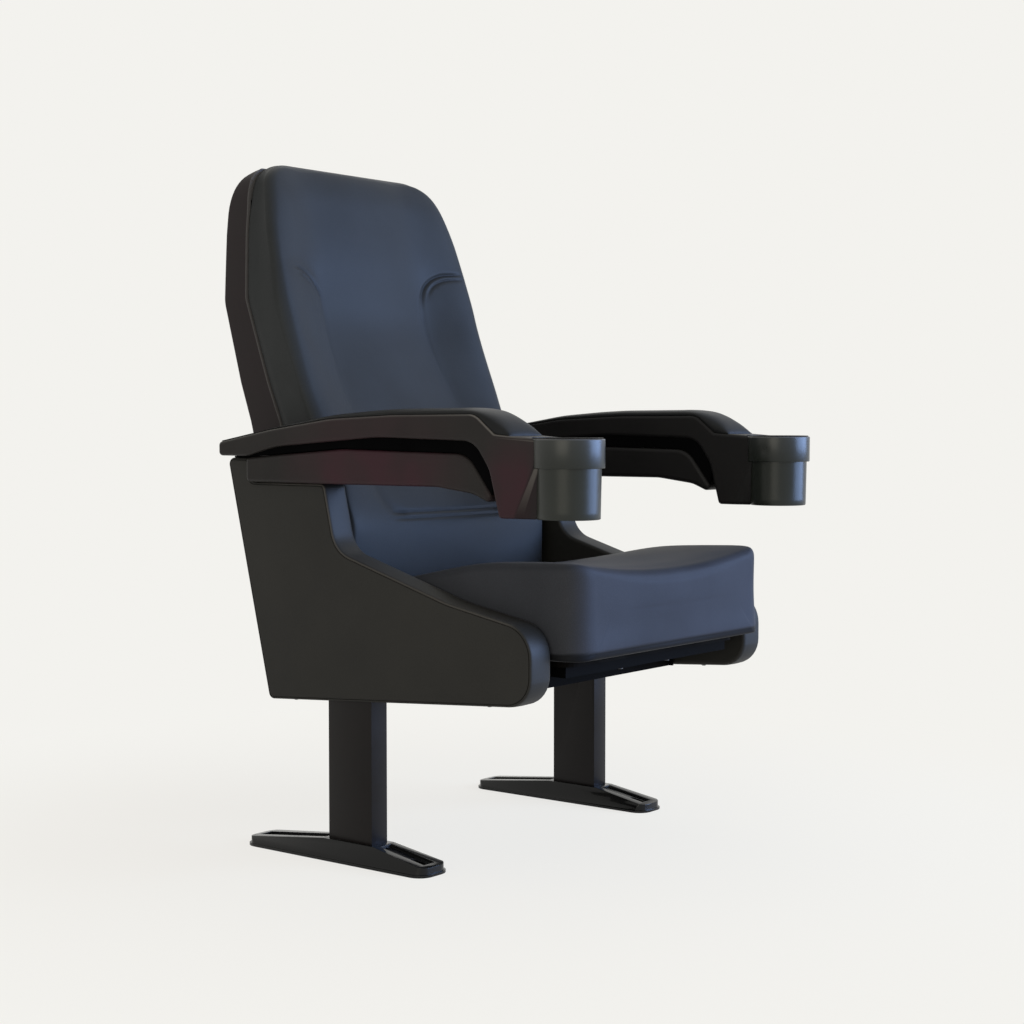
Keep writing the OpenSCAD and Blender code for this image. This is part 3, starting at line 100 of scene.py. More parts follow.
class SeatSizes(bpy.types.PropertyGroup):
    """Sizes of the seams, edges, swells and crowns that the frame leaves open"""

    panel_crown: length("Panel Crown", "How far a side panel's padded face swells", 0.0018)
    panel_seam: length("Panel Seam", "Depth of the seam round a side panel's face", 0.0008)
    seat_pull: length("Seat Side Pull", "How far the seat cushion's sides pull in", 0.0025)
    swell: length("Cushion Swell", "Most that a cushion's cover moves under its filling", 0.004)
    channel_depth: length("Channel Depth", "Depth of the back cushion's sewn channels", 0.0036)
    channel_half: length("Channel Half Width", "Half the width of one line of a sewn channel", 0.003)
    shell_bead: length("Shell Bead", "Thickness of the bead along the rear shell's front lip", 0.0014)
    foot_bevel: length("Foot Bevel", "Width of the worn edges of the feet", 0.0009)
    column_bevel: length("Column Bevel", "Radius of a column's long edges", 0.002)
    pad_crown: length("Pad Crown", "Height of an arm pad's middle above its rim", 0.009)


class SeatColours(bpy.types.PropertyGroup):
    """Colours of the covers, mouldings and metals"""

    back_leather: paint("Back Cover", "Colour of the back cushion's cover", (0.0262, 0.0278, 0.0285))
    seat_leather: paint("Seat Cover", "Colour of the seat cushion's cover", (0.036, 0.0375, 0.0435))
    panel_leather: paint("Panel Cover", "Colour of the side panels' cover", (0.0175, 0.0166, 0.0144))
    pad_leather: paint("Pad Cover", "Colour of the arm pads", (0.0165, 0.0172, 0.0178))
    arm_plastic: paint("Arm Moulding", "Main colour of the arms and their beams", (0.0165, 0.0145, 0.0136))
    # Painted reflection: the warm patches on the arms stand in for a warm reflection.
    arm_painted_reflection: paint("Arm Tint", "Colour of the warmer patches on the arms", (0.034, 0.0125, 0.0172))
    shell_plastic: paint("Shell Moulding", "Colour of the rear shell", (0.0125, 0.0085, 0.009))
    cup_plastic: paint("Cup Moulding", "Colour of the cup holders", (0.0125, 0.0145, 0.0115))
    liner_plastic: paint("Liner Moulding", "Colour of the cup liners", (0.003, 0.003, 0.003))
    gloss_paint: paint("Foot Paint", "Colour of the feet", (0.0045, 0.0045, 0.0047))
    satin_paint: paint("Column Paint", "Colour of the columns", (0.0062, 0.0047, 0.0044))
    # Painted shade: near black, so that the steel under the seat reads as shadow.
    inner_steel: paint("Inner Steel", "Colour of the painted steel under the seat", (0.003, 0.003, 0.0031))
    zinc_steel: paint("Zinc Steel", "Colour of the rails and bolts", (0.07, 0.07, 0.072))
    background: paint("Background", "Colour of the floor and the room", (0.896, 0.888, 0.855))


def sizes():
    return bpy.context.scene.seat_sizes


def colours():
    return bpy.context.scene.seat_colours


# ---------------------------------------------------------------- outlines and tables


def rounded(corners, steps=9):
    """An anticlockwise outline with each corner (y, z, radius) rounded."""
    points = []
    count = len(corners)
    for i, (y, z, radius) in enumerate(corners):
        corner = Vector((y, z))
        u = (Vector(corners[i - 1][:2]) - corner).normalized()
        v = (Vector(corners[(i + 1) % count][:2]) - corner).normalized()
        half = math.acos(max(-1.0, min(1.0, u.dot(v)))) / 2
        middle = corner + (u + v).normalized() * radius / math.sin(half)
        start = corner + u * radius / math.tan(half) - middle
        turn = (math.pi - 2 * half) * (1 if u.x * v.y - u.y * v.x < 0 else -1)
        for k in range(steps + 1):
            a = turn * k / steps
            points.append((
                middle.x + start.x * math.cos(a) - start.y * math.sin(a),
                middle.y + start.x * math.sin(a) + start.y * math.cos(a)))
    return points


def drawn_in(points, distance):
    """An anticlockwise outline moved inwards by a distance."""
    result = []
    for i, point in enumerate(points):
        before, here, after = (Vector(p) for p in (points[i - 1], point, points[(i + 1) % len(points)]))
        e, f = (here - before).normalized(), (after - here).normalized()
        m, q = Vector((e.y, -e.x)), Vector((f.y, -f.x))
        moved = here - (m + q) * distance / (1 + m.dot(q))
        result.append((moved.x, moved.y))
    return result


def smooth_line(points):
    """A smooth line through points."""
    made = []
    last = len(points) - 1
    for i in range(last):
        a, b, c, d = (points[k] for k in (max(0, i - 1), i, i + 1, min(last, i + 2)))
        for k in range(5):
            t = k / 5
            made.append(tuple(
                0.5 * (2 * q + (r - p) * t + (2 * p - 5 * q + 4 * r - s) * t * t
                       + (3 * q - p - 3 * r + s) * t ** 3) for p, q, r, s in zip(a, b, c, d)))
    return made + [points[-1]]


def even_line(points, gap):
    """The same line with even steps."""
    points = np.array(points)
    run = np.concatenate([[0], np.cumsum(np.linalg.norm(np.diff(points, axis=0), axis=1))])
    places = np.linspace(0, run[-1], int(run[-1] / gap))
    return list(zip(np.interp(places, run, points[:, 0]), np.interp(places, run, points[:, 1])))


def straight(table, place):
    """The value at a place of a table of (place, value), along straight lines."""
    return float(np.interp(place, [row[0] for row in table], [row[1] for row in table]))


def eased(table, place):
    """The value at a place of a table of (place, value), along a smooth curve without overshoot."""
    if place <= table[0][0]:
        return table[0][1]
    if place >= table[-1][0]:
        return table[-1][1]
    rises = [(b[1] - a[1]) / (b[0] - a[0]) for a, b in zip(table, table[1:])]
    slopes = [rises[0]]
    for a, b in zip(rises, rises[1:]):
        slopes.append(0.0 if a * b <= 0 else 2 * a * b / (a + b))
    slopes.append(rises[-1])
    i = max(k for k in range(len(table) - 1) if table[k][0] <= place)
    width = table[i + 1][0] - table[i][0]
    t = (place - table[i][0]) / width
    return ((1 + 2 * t) * (1 - t) ** 2 * table[i][1] + t * (1 - t) ** 2 * width * slopes[i]
            + t * t * (3 - 2 * t) * table[i + 1][1] + t * t * (t - 1) * width * slopes[i + 1])


def smooth_step(low, high, value):
    t = np.clip((value - low) / (high - low), 0, 1)
    return t * t * (3 - 2 * t)


def bell(distance, width):
    return np.exp(-(distance / width) ** 2)


def far_from(points, line, closed=False):
    """Distance of each 2-D point from a line of points."""
    ends = list(line) + ([line[0]] if closed else [])
    best = np.full(len(points), 1e9)
    for a, b in zip(ends, ends[1:]):
        a, b = np.array(a, float), np.array(b, float)
        along = b - a
        t = np.clip(((points - a) @ along) / max(along @ along, 1e-12), 0, 1)
        best = np.minimum(best, np.linalg.norm(points - a - t[:, None] * along, axis=1))
    return best


# ---------------------------------------------------------------- modelling


def start():
    if bpy.context.object and bpy.context.object.mode != "OBJECT":
        bpy.ops.object.mode_set(mode="OBJECT")
    bpy.ops.object.select_all(action="DESELECT")


def pick(piece):
    start()
    piece.select_set(True)
    bpy.context.view_layer.objects.active = piece


def swept(name, rings, loop=False):
    """A closed skin grown ring by ring from a flat disc. A loop's last ring meets its first."""
    start()
    count = len(rings[0])
    bpy.ops.mesh.primitive_circle_add(vertices=count, radius=1, fill_type="NGON", enter_editmode=True)
    piece = bpy.context.object
    piece.name = name
    mesh = bmesh.from_edit_mesh(piece.data)
    mesh.faces.ensure_lookup_table()
    disc = mesh.faces[0]
    for vertex, place in zip(disc.verts, rings[0]):
        vertex.co = place
    for ring in rings[1:] + ([rings[0]] if loop else []):
        bpy.ops.mesh.extrude_region_move()
        mesh = bmesh.from_edit_mesh(piece.data)
        disc = next(face for face in reversed(mesh.faces[:]) if face.select)
        for vertex, place in zip(disc.verts, ring):
            vertex.co = place
    mesh = bmesh.from_edit_mesh(piece.data)
    caps = [face for face in mesh.faces if len(face.verts) == count]
    if loop:
        bmesh.ops.delete(mesh, geom=caps, context="FACES_ONLY")
    elif len(caps) < 2:
        bpy.ops.mesh.select_all(action="SELECT")
        bpy.ops.mesh.fill_holes(sides=0)
    bmesh.update_edit_mesh(piece.data)
    bpy.ops.mesh.select_all(action="SELECT")
    bpy.ops.mesh.remove_doubles(threshold=1e-6)
    bpy.ops.mesh.select_all(action="SELECT")
    bpy.ops.mesh.normals_make_consistent(inside=False)
    bpy.ops.object.mode_set(mode="OBJECT")
    piece.data.name = name
    return piece


def slab(name, outline, profile, side):
    """A slab across X with a side outline. The profile gives (x, inset), x outwards."""
    return swept(name, [[beside(side, x, y, z) for y, z in drawn_in(outline, inset)] for x, inset in profile])


def round_profile(half, edge, flat=0.6, inner=None, steps=6):
    """A slab profile with rounded edges, and a narrow flat rim before each face."""
    near = [(0, edge + flat)]
    for k in range(steps + 1):
        a = math.pi / 2 * k / steps
        near.append((edge * (1 - math.cos(a)), edge * (1 - math.sin(a))))
    inside = half if inner is None else inner
    return [(x - inside, inset) for x, inset in near] + [(half - x, inset) for x, inset in reversed(near)]


def turned(name, profile, side, steps=96, loop=False):
    """A piece turned round the upright axis of one side's cup. The profile gives (radius, z)."""
    x, y = side * STAND_X, FEET_Y + CUP_Y * MM
    turns = [2 * math.pi * k / steps for k in range(steps)]
    return swept(name, [[(x + radius * MM * math.cos(a), y + radius * MM * math.sin(a), z * MM) for a in turns]
                        for radius, z in profile], loop)


def add_modifier(piece, kind, **settings):
    pick(piece)
    modifier = piece.modifiers.new(kind.title(), kind)
    for key, value in settings.items():
        setattr(modifier, key, value)
    bpy.ops.object.modifier_apply(modifier=modifier.name)


def subdivided(piece, levels):
    add_modifier(piece, "SUBSURF", levels=levels, render_levels=levels)


def smooth(piece, angle):
    pick(piece)
    bpy.ops.object.shade_smooth_by_angle(angle=math.radians(angle))


def cut(piece, cutter):
    """Cuts one piece's shape out of another with an exact Boolean."""
    add_modifier(piece, "BOOLEAN", operation="DIFFERENCE", solver="EXACT", object=cutter)
    bpy.data.objects.remove(cutter)


def block(low, high):
    """A box-shaped cutter between two corners."""
    start()
    bpy.ops.mesh.primitive_cube_add(size=1)
    box = bpy.context.object
    box.scale = [b - a for a, b in zip(low, high)]
    box.location = [(a + b) / 2 for a, b in zip(low, high)]
    bpy.ops.object.transform_apply(location=True, rotation=True, scale=True)
    return box


def sliced(piece, planes):
    """Cuts new edges across a piece along planes, each a point and a normal."""
    pick(piece)
    bpy.ops.object.mode_set(mode="EDIT")
    for point, normal in planes:
        bpy.ops.mesh.select_all(action="SELECT")
        bpy.ops.mesh.bisect(plane_co=point, plane_no=normal)
    bpy.ops.object.mode_set(mode="OBJECT")


def read_vectors(piece, what):
    flat = np.empty(len(piece.data.vertices) * 3)
    piece.data.vertices.foreach_get(what, flat)
    return flat.reshape(-1, 3)


def places_of(piece):
    return read_vectors(piece, "co")


def normals_of(piece):
    return read_vectors(piece, "normal")


def put(piece, places):
    piece.data.vertices.foreach_set("co", places.ravel())
    piece.data.update()


def marked(piece, name, values):
    """Stores one number at each vertex for the piece's material to read."""
    attribute = piece.data.attributes.new(name, "FLOAT", "POINT")
    attribute.data.foreach_set("value", np.asarray(values, np.float32))


def evened(piece, field, rounds):
    """A field of vectors at the vertices, averaged with its neighbours a number of times."""
    ends = np.empty(len(piece.data.edges) * 2, dtype=np.int32)
    piece.data.edges.foreach_get("vertices", ends)
    a, b = ends[::2], ends[1::2]
    count = np.bincount(ends, minlength=len(field))[:, None]
    for _ in range(rounds):
        total = np.zeros_like(field)
        np.add.at(total, a, field[b])
        np.add.at(total, b, field[a])
        field = (field + total / count) / 2
    return field


def filled_out(piece, hold):
    """Lets a cushion's cover swell under its filling. hold is 0 where it is free and 1 where it is sewn."""
    frames = 20
    before = places_of(piece)
    pick(piece)
    group = piece.vertex_groups.new(name="Sewn")
    for index, weight in enumerate(hold):
        if weight > 0:
            group.add([index], float(weight), "REPLACE")
    modifier = piece.modifiers.new("Cover", "CLOTH")
    settings = modifier.settings
    settings.quality = 6
    settings.use_pressure = True
    settings.uniform_pressure_force = 4.0
    settings.effector_weights.gravity = 0
    settings.vertex_group_mass = "Sewn"
    settings.tension_stiffness = 18
    settings.compression_stiffness = 18
    settings.bending_stiffness = 4
    modifier.point_cache.frame_start = 1
    modifier.point_cache.frame_end = frames
    for step in range(1, frames + 1):
        bpy.context.scene.frame_set(step)
    bpy.ops.object.modifier_apply(modifier=modifier.name)
    bpy.context.scene.frame_set(1)
    moved = evened(piece, places_of(piece) - before, rounds=40)
    distance = np.linalg.norm(moved, axis=1)
    most = sizes().swell
    limit = most * np.tanh(distance / most) / np.maximum(distance, 1e-9)
    free = 1 - np.clip(np.asarray(hold), 0, 1)
    put(piece, before + moved * (limit * free)[:, None])
    piece.vertex_groups.clear()


def dressed(piece, body, slot, *nodes, finish=None):
    """Gives a finished piece its body and its material, and hides the nodes that it stands for."""
    piece.data.materials.clear()
    piece.data.materials.append(bpy.data.materials[finish or finish_of(slot)])
    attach(piece, body)
    if nodes:
        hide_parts(*nodes)
    return piece


def worn_copy(node, name, bevel):
    """A merged copy of a CAD node with its sharp edges eased."""
    start()
    source = frame["nodes"][node]
    piece = bpy.data.objects.new(name, source.data.copy())
    bpy.context.scene.collection.objects.link(piece)
    pick(piece)
    bpy.ops.object.mode_set(mode="EDIT")
    bpy.ops.mesh.select_all(action="SELECT")
    bpy.ops.mesh.remove_doubles(threshold=1e-5)
    bpy.ops.mesh.dissolve_limited(angle_limit=math.radians(1))
    bpy.ops.object.mode_set(mode="OBJECT")
    if "custom_normal" in piece.data.attributes:
        piece.data.attributes.remove(piece.data.attributes["custom_normal"])
    add_modifier(piece, "BEVEL", width=bevel, segments=3, limit_method="ANGLE",
                 angle_limit=math.radians(32), use_clamp_overlap=True)
    smooth(piece, 40)
    return piece


# ---------------------------------------------------------------- finishes


def add(tree, kind, inputs=(), **settings):
    """A new node with settings. inputs gives its sockets' values: plain ones, or sockets to link from."""
    node = tree.nodes.new(kind)
    for key, value in settings.items():
        setattr(node, key, value)
    feed(tree, node, inputs)
    return node


def feed(tree, node, inputs):
    for socket, value in dict(inputs).items():
        if isinstance(value, bpy.types.NodeSocket):
            tree.links.new(value, node.inputs[socket])
        else:
            node.inputs[socket].default_value = value


def maths(tree, operation, *values, clamp=False):
    return add(tree, "ShaderNodeMath", enumerate(values), operation=operation, use_clamp=clamp).outputs[0]


def times(tree, a, b):
    return maths(tree, "MULTIPLY", a, b)


def sum_of(tree, a, b, share):
    """a + share * b"""
    return maths(tree, "MULTIPLY_ADD", b, share, a)


def noise(tree, vector, scale, detail=2.0, roughness=0.5):
    return add(tree, "ShaderNodeTexNoise", {
        "Vector": vector, "Scale": scale, "Detail": detail, "Roughness": roughness}).outputs["Fac"]


def ranged(tree, value, low, high, to_low=0.0, to_high=1.0):
    return add(tree, "ShaderNodeMapRange", {
        "Value": value, "From Min": low, "From Max": high, "To Min": to_low, "To Max": to_high}).outputs["Result"]


def blended(tree, mask, base, other):
    """One colour turning into another with a mask. A colour is a socket or three numbers."""
    a, b = (c if isinstance(c, bpy.types.NodeSocket) else (*c, 1) for c in (base, other))
    return add(tree, "ShaderNodeMix", {"Factor": mask, "A": a, "B": b}, data_type="RGBA").outputs["Result"]


def scaled(colour, share):
    return [c * share for c in colour]


def attribute(tree, name):
    return add(tree, "ShaderNodeAttribute", attribute_name=name).outputs["Fac"]


def new_group(name, outputs, scale=None):
    """A shader group with a Vector input, and a Scale input if it has a scale."""
    group = bpy.data.node_groups.new(name, "ShaderNodeTree")
    group.interface.new_socket("Vector", in_out="INPUT", socket_type="NodeSocketVector")
    if scale:
        socket = group.interface.new_socket("Scale", in_out="INPUT", socket_type="NodeSocketFloat")
        socket.default_value = scale
    for output in outputs:
        group.interface.new_socket(output, in_out="OUTPUT", socket_type="NodeSocketFloat")
    return group, group.nodes.new("NodeGroupInput").outputs, group.nodes.new("NodeGroupOutput")


def make_hide_grain():
    """Pebbled leather: cells with fine pores, a soft undulation and a slow drift of shade."""
    group, given, out = new_group("Hide Grain", ("Height", "Shade", "Sheen"), 620.0)
    place = given["Vector"]
    cells = add(group, "ShaderNodeTexVoronoi", {
        "Smoothness": 0.5, "Randomness": 0.92, "Vector": place, "Scale": given["Scale"]},
        feature="SMOOTH_F1").outputs["Distance"]
    pores = noise(group, place, 1900.0)
    ripple = noise(group, place, 38.0)
    drift = noise(group, place, 6.5, 3.0, 0.55)
    feed(group, out, {
        "Height": sum_of(group, sum_of(group, cells, pores, 0.35), ripple, 2.2),
        "Shade": sum_of(group, drift, cells, 0.25), "Sheen": sum_of(group, drift, pores, 0.4)})


def make_moulded_texture():
    """Spark-eroded plastic: fine stipple with a faint flow pattern."""
    group, given, out = new_group("Moulded Texture", ("Height", "Shade"), 1500.0)
    place = given["Vector"]
    stipple = add(group, "ShaderNodeTexVoronoi", {"Vector": place, "Scale": given["Scale"]}, feature="F1")
    flow = noise(group, place, 9.0, 4.0, 0.6)
    fine = noise(group, place, 420.0, 3.0)
    feed(group, out, {
        "Height": sum_of(group, stipple.outputs["Distance"], fine, 0.8), "Shade": sum_of(group, flow, fine, 0.3)})


def stretched(group, place, scale):
    return add(group, "ShaderNodeMapping", {"Vector": place, "Scale": scale}).outputs["Vector"]


def make_metal_surface():
    """Rolled or painted metal: long drawn lines, a little orange peel and dust in patches."""
    group, given, out = new_group("Metal Surface", ("Lines", "Peel", "Patches"))
    place = given["Vector"]
    feed(group, out, {
        "Lines": noise(group, stretched(group, place, (900, 12, 900)), 1.0, 3.0),
        "Peel": noise(group, place, 260.0), "Patches": noise(group, place, 14.0, 5.0, 0.62)})


def make_wood_grain():
    """Plywood: stretched fibres and slow rings."""
    group, given, out = new_group("Wood Grain", ("Fibre", "Rings"))
    place = given["Vector"]
    feed(group, out, {
        "Fibre": noise(group, stretched(group, place, (240, 14, 240)), 1.0, 4.0, 0.6),
        "Rings": noise(group, place, 18.0, 3.0)})


# What each kind of surface takes from its shader group: (output, darkest and lightest tone, range) for the
# colour, (output, range, least and most change) for the roughness, and (output, strength) for the bump
SURFACES = {
    "leather": (
        "Hide Grain", ("Shade", 0.8, 1.2, 0.35, 0.85), ("Sheen", 0.3, 1.0, -0.06, 0.07), ("Height", 0.32)),
    "plastic": (
        "Moulded Texture", ("Shade", 0.8, 1.22, 0.4, 0.85), ("Shade", 0.35, 0.95, -0.05, 0.08), ("Height", 0.3)),
    "paint": (
        "Metal Surface", ("Patches", 0.78, 1.3, 0.3, 0.75), ("Patches", 0.3, 0.75, -0.05, 0.1), ("Peel", 0.35)),
    "metal": (
        "Metal Surface", ("Patches", 0.72, 1.08, 0.3, 0.75), ("Lines", 0.3, 0.7, -0.08, 0.12), ("Lines", 0.25)),
    "board": (
        "Wood Grain", ("Fibre", 0.6, 1.2, 0.3, 0.75), ("Rings", 0.3, 0.8, -0.1, 0.1), ("Fibre", 0.3)),
}


def new_material(name):
    material = bpy.data.materials.new(name)
    material.use_nodes = True
    tree = material.node_tree
    return material, tree, tree.nodes["Principled BSDF"], add(tree, "ShaderNodeTexCoord").outputs["Object"]


def make(kind, name, colour, roughness, relief, gloss=0.5, scale=None, lip=None, painted_reflection_and_shade=None, **levels):
    """One finish: a kind of surface with its own colour, roughness and depth of relief in metres."""
    group, tones, rough, bump = SURFACES[kind]
    material, tree, shader, place = new_material(name)
    given = {"Vector": place, "Scale": scale} if scale else {"Vector": place}
    out = add(tree, "ShaderNodeGroup", given, node_tree=bpy.data.node_groups[group]).outputs
    mask, dark, light, low, high = tones
    base = blended(tree, ranged(tree, out[mask], low, high), scaled(colour, dark), scaled(colour, light))
    # Painted shade: the crease mark darkens the cover towards 0.15 of its colour in seams, channels and tucks,
    # where shade falls.
    if kind == "leather":
        base = blended(tree, attribute(tree, "crease"), base, scaled(colour, 0.15))
    # Painted light on the arms: warm patches stand in for a reflection, and darker tones for shade.
    if painted_reflection_and_shade:
        base = painted_arm_light(tree, place, base, *painted_reflection_and_shade)
    # Painted highlight: the lip mark lightens edges towards the lip colour, as if they caught the light.
    if lip:
        base = blended(tree, attribute(tree, "lip"), base, lip)
    mask, low, high, less, more = rough
    height = add(tree, "ShaderNodeBump", {"Strength": bump[1], "Distance": relief, "Height": out[bump[0]]})
    feed(tree, shader, {
        "Base Color": base, "Roughness": ranged(tree, out[mask], low, high, roughness + less, roughness + more),
        "Normal": height.outputs["Normal"], "Specular IOR Level": gloss})
    feed(tree, shader, {key.replace("_", " ").title(): value for key, value in levels.items()})


def painted_arm_light(tree, place, base, warm, dark):
    """Painted light on the arms: warm patches on the outer flanks, along the beam and on the leg are a painted
    warm reflection, and a darker tone on the inner flanks and past the crease beside the cup is painted shade."""
    split = add(tree, "ShaderNodeSeparateXYZ", {0: place}).outputs
    across, y, z = maths(tree, "ABSOLUTE", split["X"]), split["Y"], split["Z"]
    outer = ranged(tree, across, STAND_X, STAND_X + 0.03)
    inner = ranged(tree, across, STAND_X - 0.03, STAND_X, 0.7, 0.0)
    flank = times(tree, ranged(tree, y, FEET_Y + 0.1, FEET_Y - 0.02),
                  ranged(tree, y, FEET_Y - 0.27, FEET_Y - 0.17))
    flank = times(tree, flank, ranged(tree, z, 0.598, 0.618, 1.0, 0.35))
    leg = times(tree, ranged(tree, y, FEET_Y - 0.29, FEET_Y - 0.33),
                ranged(tree, y, FEET_Y - 0.39, FEET_Y - 0.366))
    leg = times(tree, leg, ranged(tree, z, 0.625, 0.575))
    patches = ranged(tree, noise(tree, place, 14.0), 0.35, 0.6, 0.55, 1.0)
    mask = times(tree, times(tree, maths(tree, "MAXIMUM", flank, leg), outer), patches)
    # Painted shade: darker past the crease, in the hollow beside the cup.
    past = add(tree, "ShaderNodeVectorMath", {0: place, 1: CREASE_WAY}, operation="DOT_PRODUCT")
    crease = CREASE.dot(CREASE_WAY)
    hollow = ranged(tree, past.outputs["Value"], crease - 0.001, crease + 0.003, 0.0, 0.6)
    shade = blended(tree, hollow, blended(tree, mask, base, warm), dark)
    return blended(tree, inner, shade, dark)


# Finishes whose names don't follow from the record's material slots
FINISHES = {
    "gloss_black_paint": "Gloss Paint", "satin_black_paint": "Satin Paint", "black_screw": "Screw Paint",
    "board_wood": "Plywood"}


def finish_of(slot):
    return FINISHES.get(slot, slot.replace("_", " ").title())


class SEAT_OT_finishes(bpy.types.Operator):
    """Makes the finishes and gives them to the carried-over parts of the frame"""

    bl_idname = "seat.finishes"
    bl_label = "Finishes"

    def execute(self, context):
        shade = colours()
        for made in (make_hide_grain, make_moulded_texture, make_metal_surface, make_wood_grain):
            made()
        # name, colour, roughness, gloss, cells to the metre, colour of the painted highlight on the lip, sheen
        for name, colour, roughness, gloss, scale, lip, sheen in (
                ("Back Leather", shade.back_leather, 0.46, 0.1, 620.0, None, 0.02),
                ("Seat Leather", shade.seat_leather, 0.48, 0.05, 620.0, None, 0.0),
                ("Panel Leather", shade.panel_leather, 0.5, 0.17, 560.0, (0.05, 0.046, 0.041), 0.0),
                ("Pad Leather", shade.pad_leather, 0.42, 0.1, 760.0, None, 0.0)):
            make("leather", name, colour, roughness, 0.00022, gloss, scale, lip,
                 sheen_weight=sheen, sheen_roughness=0.4)
        # name, colour, roughness, relief, gloss, stipple to the metre, colour of the painted highlight on the lip,
        #         # and the colours of the painted warm reflection and the painted shade
        for row in (
                ("Arm Plastic", shade.arm_plastic, 0.42, 0.00008, 0.13, 1300.0, (0.15, 0.138, 0.126),
                 (shade.arm_painted_reflection, (0.006, 0.006, 0.0062))),
                # Painted shade: near black without gloss, for the walls in the arm's gap
                ("Dark Plastic", (0.0028, 0.0028, 0.003), 0.9, 0.00008, 0.0, 1300.0),
                ("Shell Plastic", shade.shell_plastic, 0.5, 0.00016, 0.16, 900.0, (0.085, 0.08, 0.078)),
                ("Cup Plastic", shade.cup_plastic, 0.3, 0.000004, 0.3, 2100.0, (0.075, 0.077, 0.08)),
                ("Liner Plastic", shade.liner_plastic, 0.36, 0.00003, 0.16, 2100.0),
                ("Shoe Plastic", (0.5, 0.5, 0.47), 0.4, 0.00004, 0.16, 1500.0),
                ("Buffer Rubber", (0.008, 0.008, 0.008), 0.62, 0.0001, 0.1, 800.0)):
            make("plastic", *row)
        for name, colour, roughness, gloss, coat in (
                ("Gloss Paint", shade.gloss_paint, 0.2, 0.14, 0.2),
                ("Satin Paint", shade.satin_paint, 0.36, 0.16, 0.0),
                # Painted shade: the steel under the seat is near black and almost without gloss, so that it reads
                # as shadow.
                ("Inner Steel", shade.inner_steel, 0.5, 0.015, 0.0),
                ("Screw Paint", shade.inner_steel, 0.35, 0.4, 0.0)):
            make("paint", name, colour, roughness, 0.00006, gloss, coat_weight=coat, coat_roughness=0.06)
        for name, colour, roughness in (
                ("Zinc Steel", shade.zinc_steel, 0.36), ("Pin Steel", (0.5, 0.51, 0.52), 0.24),
                ("Bush Bronze", (0.45, 0.3, 0.13), 0.36)):
            make("metal", name, colour, roughness, 0.00004, metallic=1.0)
        # Painted shade: the board is near black, so that it reads as the shadow under the seat.
        make("board", "Plywood", (0.005, 0.0042, 0.0034), 0.7, 0.0002, 0.03)
        slots = {part["node"]: part["material_slot"] for part in frame["record"]["subparts"]}
        for name, node in frame["nodes"].items():
            for holder in node.material_slots:
                holder.material = bpy.data.materials[finish_of(slots[name])]
        return {"FINISHED"}


# ---------------------------------------------------------------- stands


class SEAT_OT_stands(bpy.types.Operator):
    """Builds the two feet and the two columns with eased edges"""

    bl_idname = "seat.stands"
    bl_label = "Feet and Columns"

    def execute(self, context):
        for word, _ in SIDES:
            foot = worn_copy(word + "_foot", word + "_foot_casting", sizes().foot_bevel)
            dressed(foot, "stand", "gloss_black_paint", word + "_foot")
            column = worn_copy(word + "_column", word + "_column_tube", sizes().column_bevel)
            dressed(column, "stand", "satin_black_paint", word + "_column")
        return {"FINISHED"}


# Side outlines, as (y, z, radius of the corner)
PANEL = [
    (131.2, 225, 10), (217.5, 585, 10), (170, 585, 10), (170, 549, 10), (16.6, 549, 10), (-6, 452.5, 46),
    (-215, 389.2, 250), (-361.5, 360.7, 48), (-361.5, 257, 42)]
BEAM = [
    (166, 549, 7.5), (166, 585.7, 7.5), (-31, 600, 90), (-261, 595.4, 42), (-318, 521, 7.5), (-270, 541, 60),
    (-205, 549.3, 90), (-25, 549, 120)]
ARM = [
    (-391, 510, 6), (-320.2, 510, 6), (-303, 574.6, 48), (-276.9, 612.3, 39), (-100.3, 617, 360),
    (100.3, 602.2, 240), (160, 588, 36), (218, 588, 6), (218, 608.5, 6), (110, 627.3, 300), (-10.3, 643, 360),
    (-130.4, 648.3, 600), (-278, 649, 30), (-312, 622, 7.8), (-391, 616, 6)]
# Steps of a rounded corner on the beam and the arm, and so points to a corner
CORNER_STEPS = 12
CORNER = CORNER_STEPS + 1


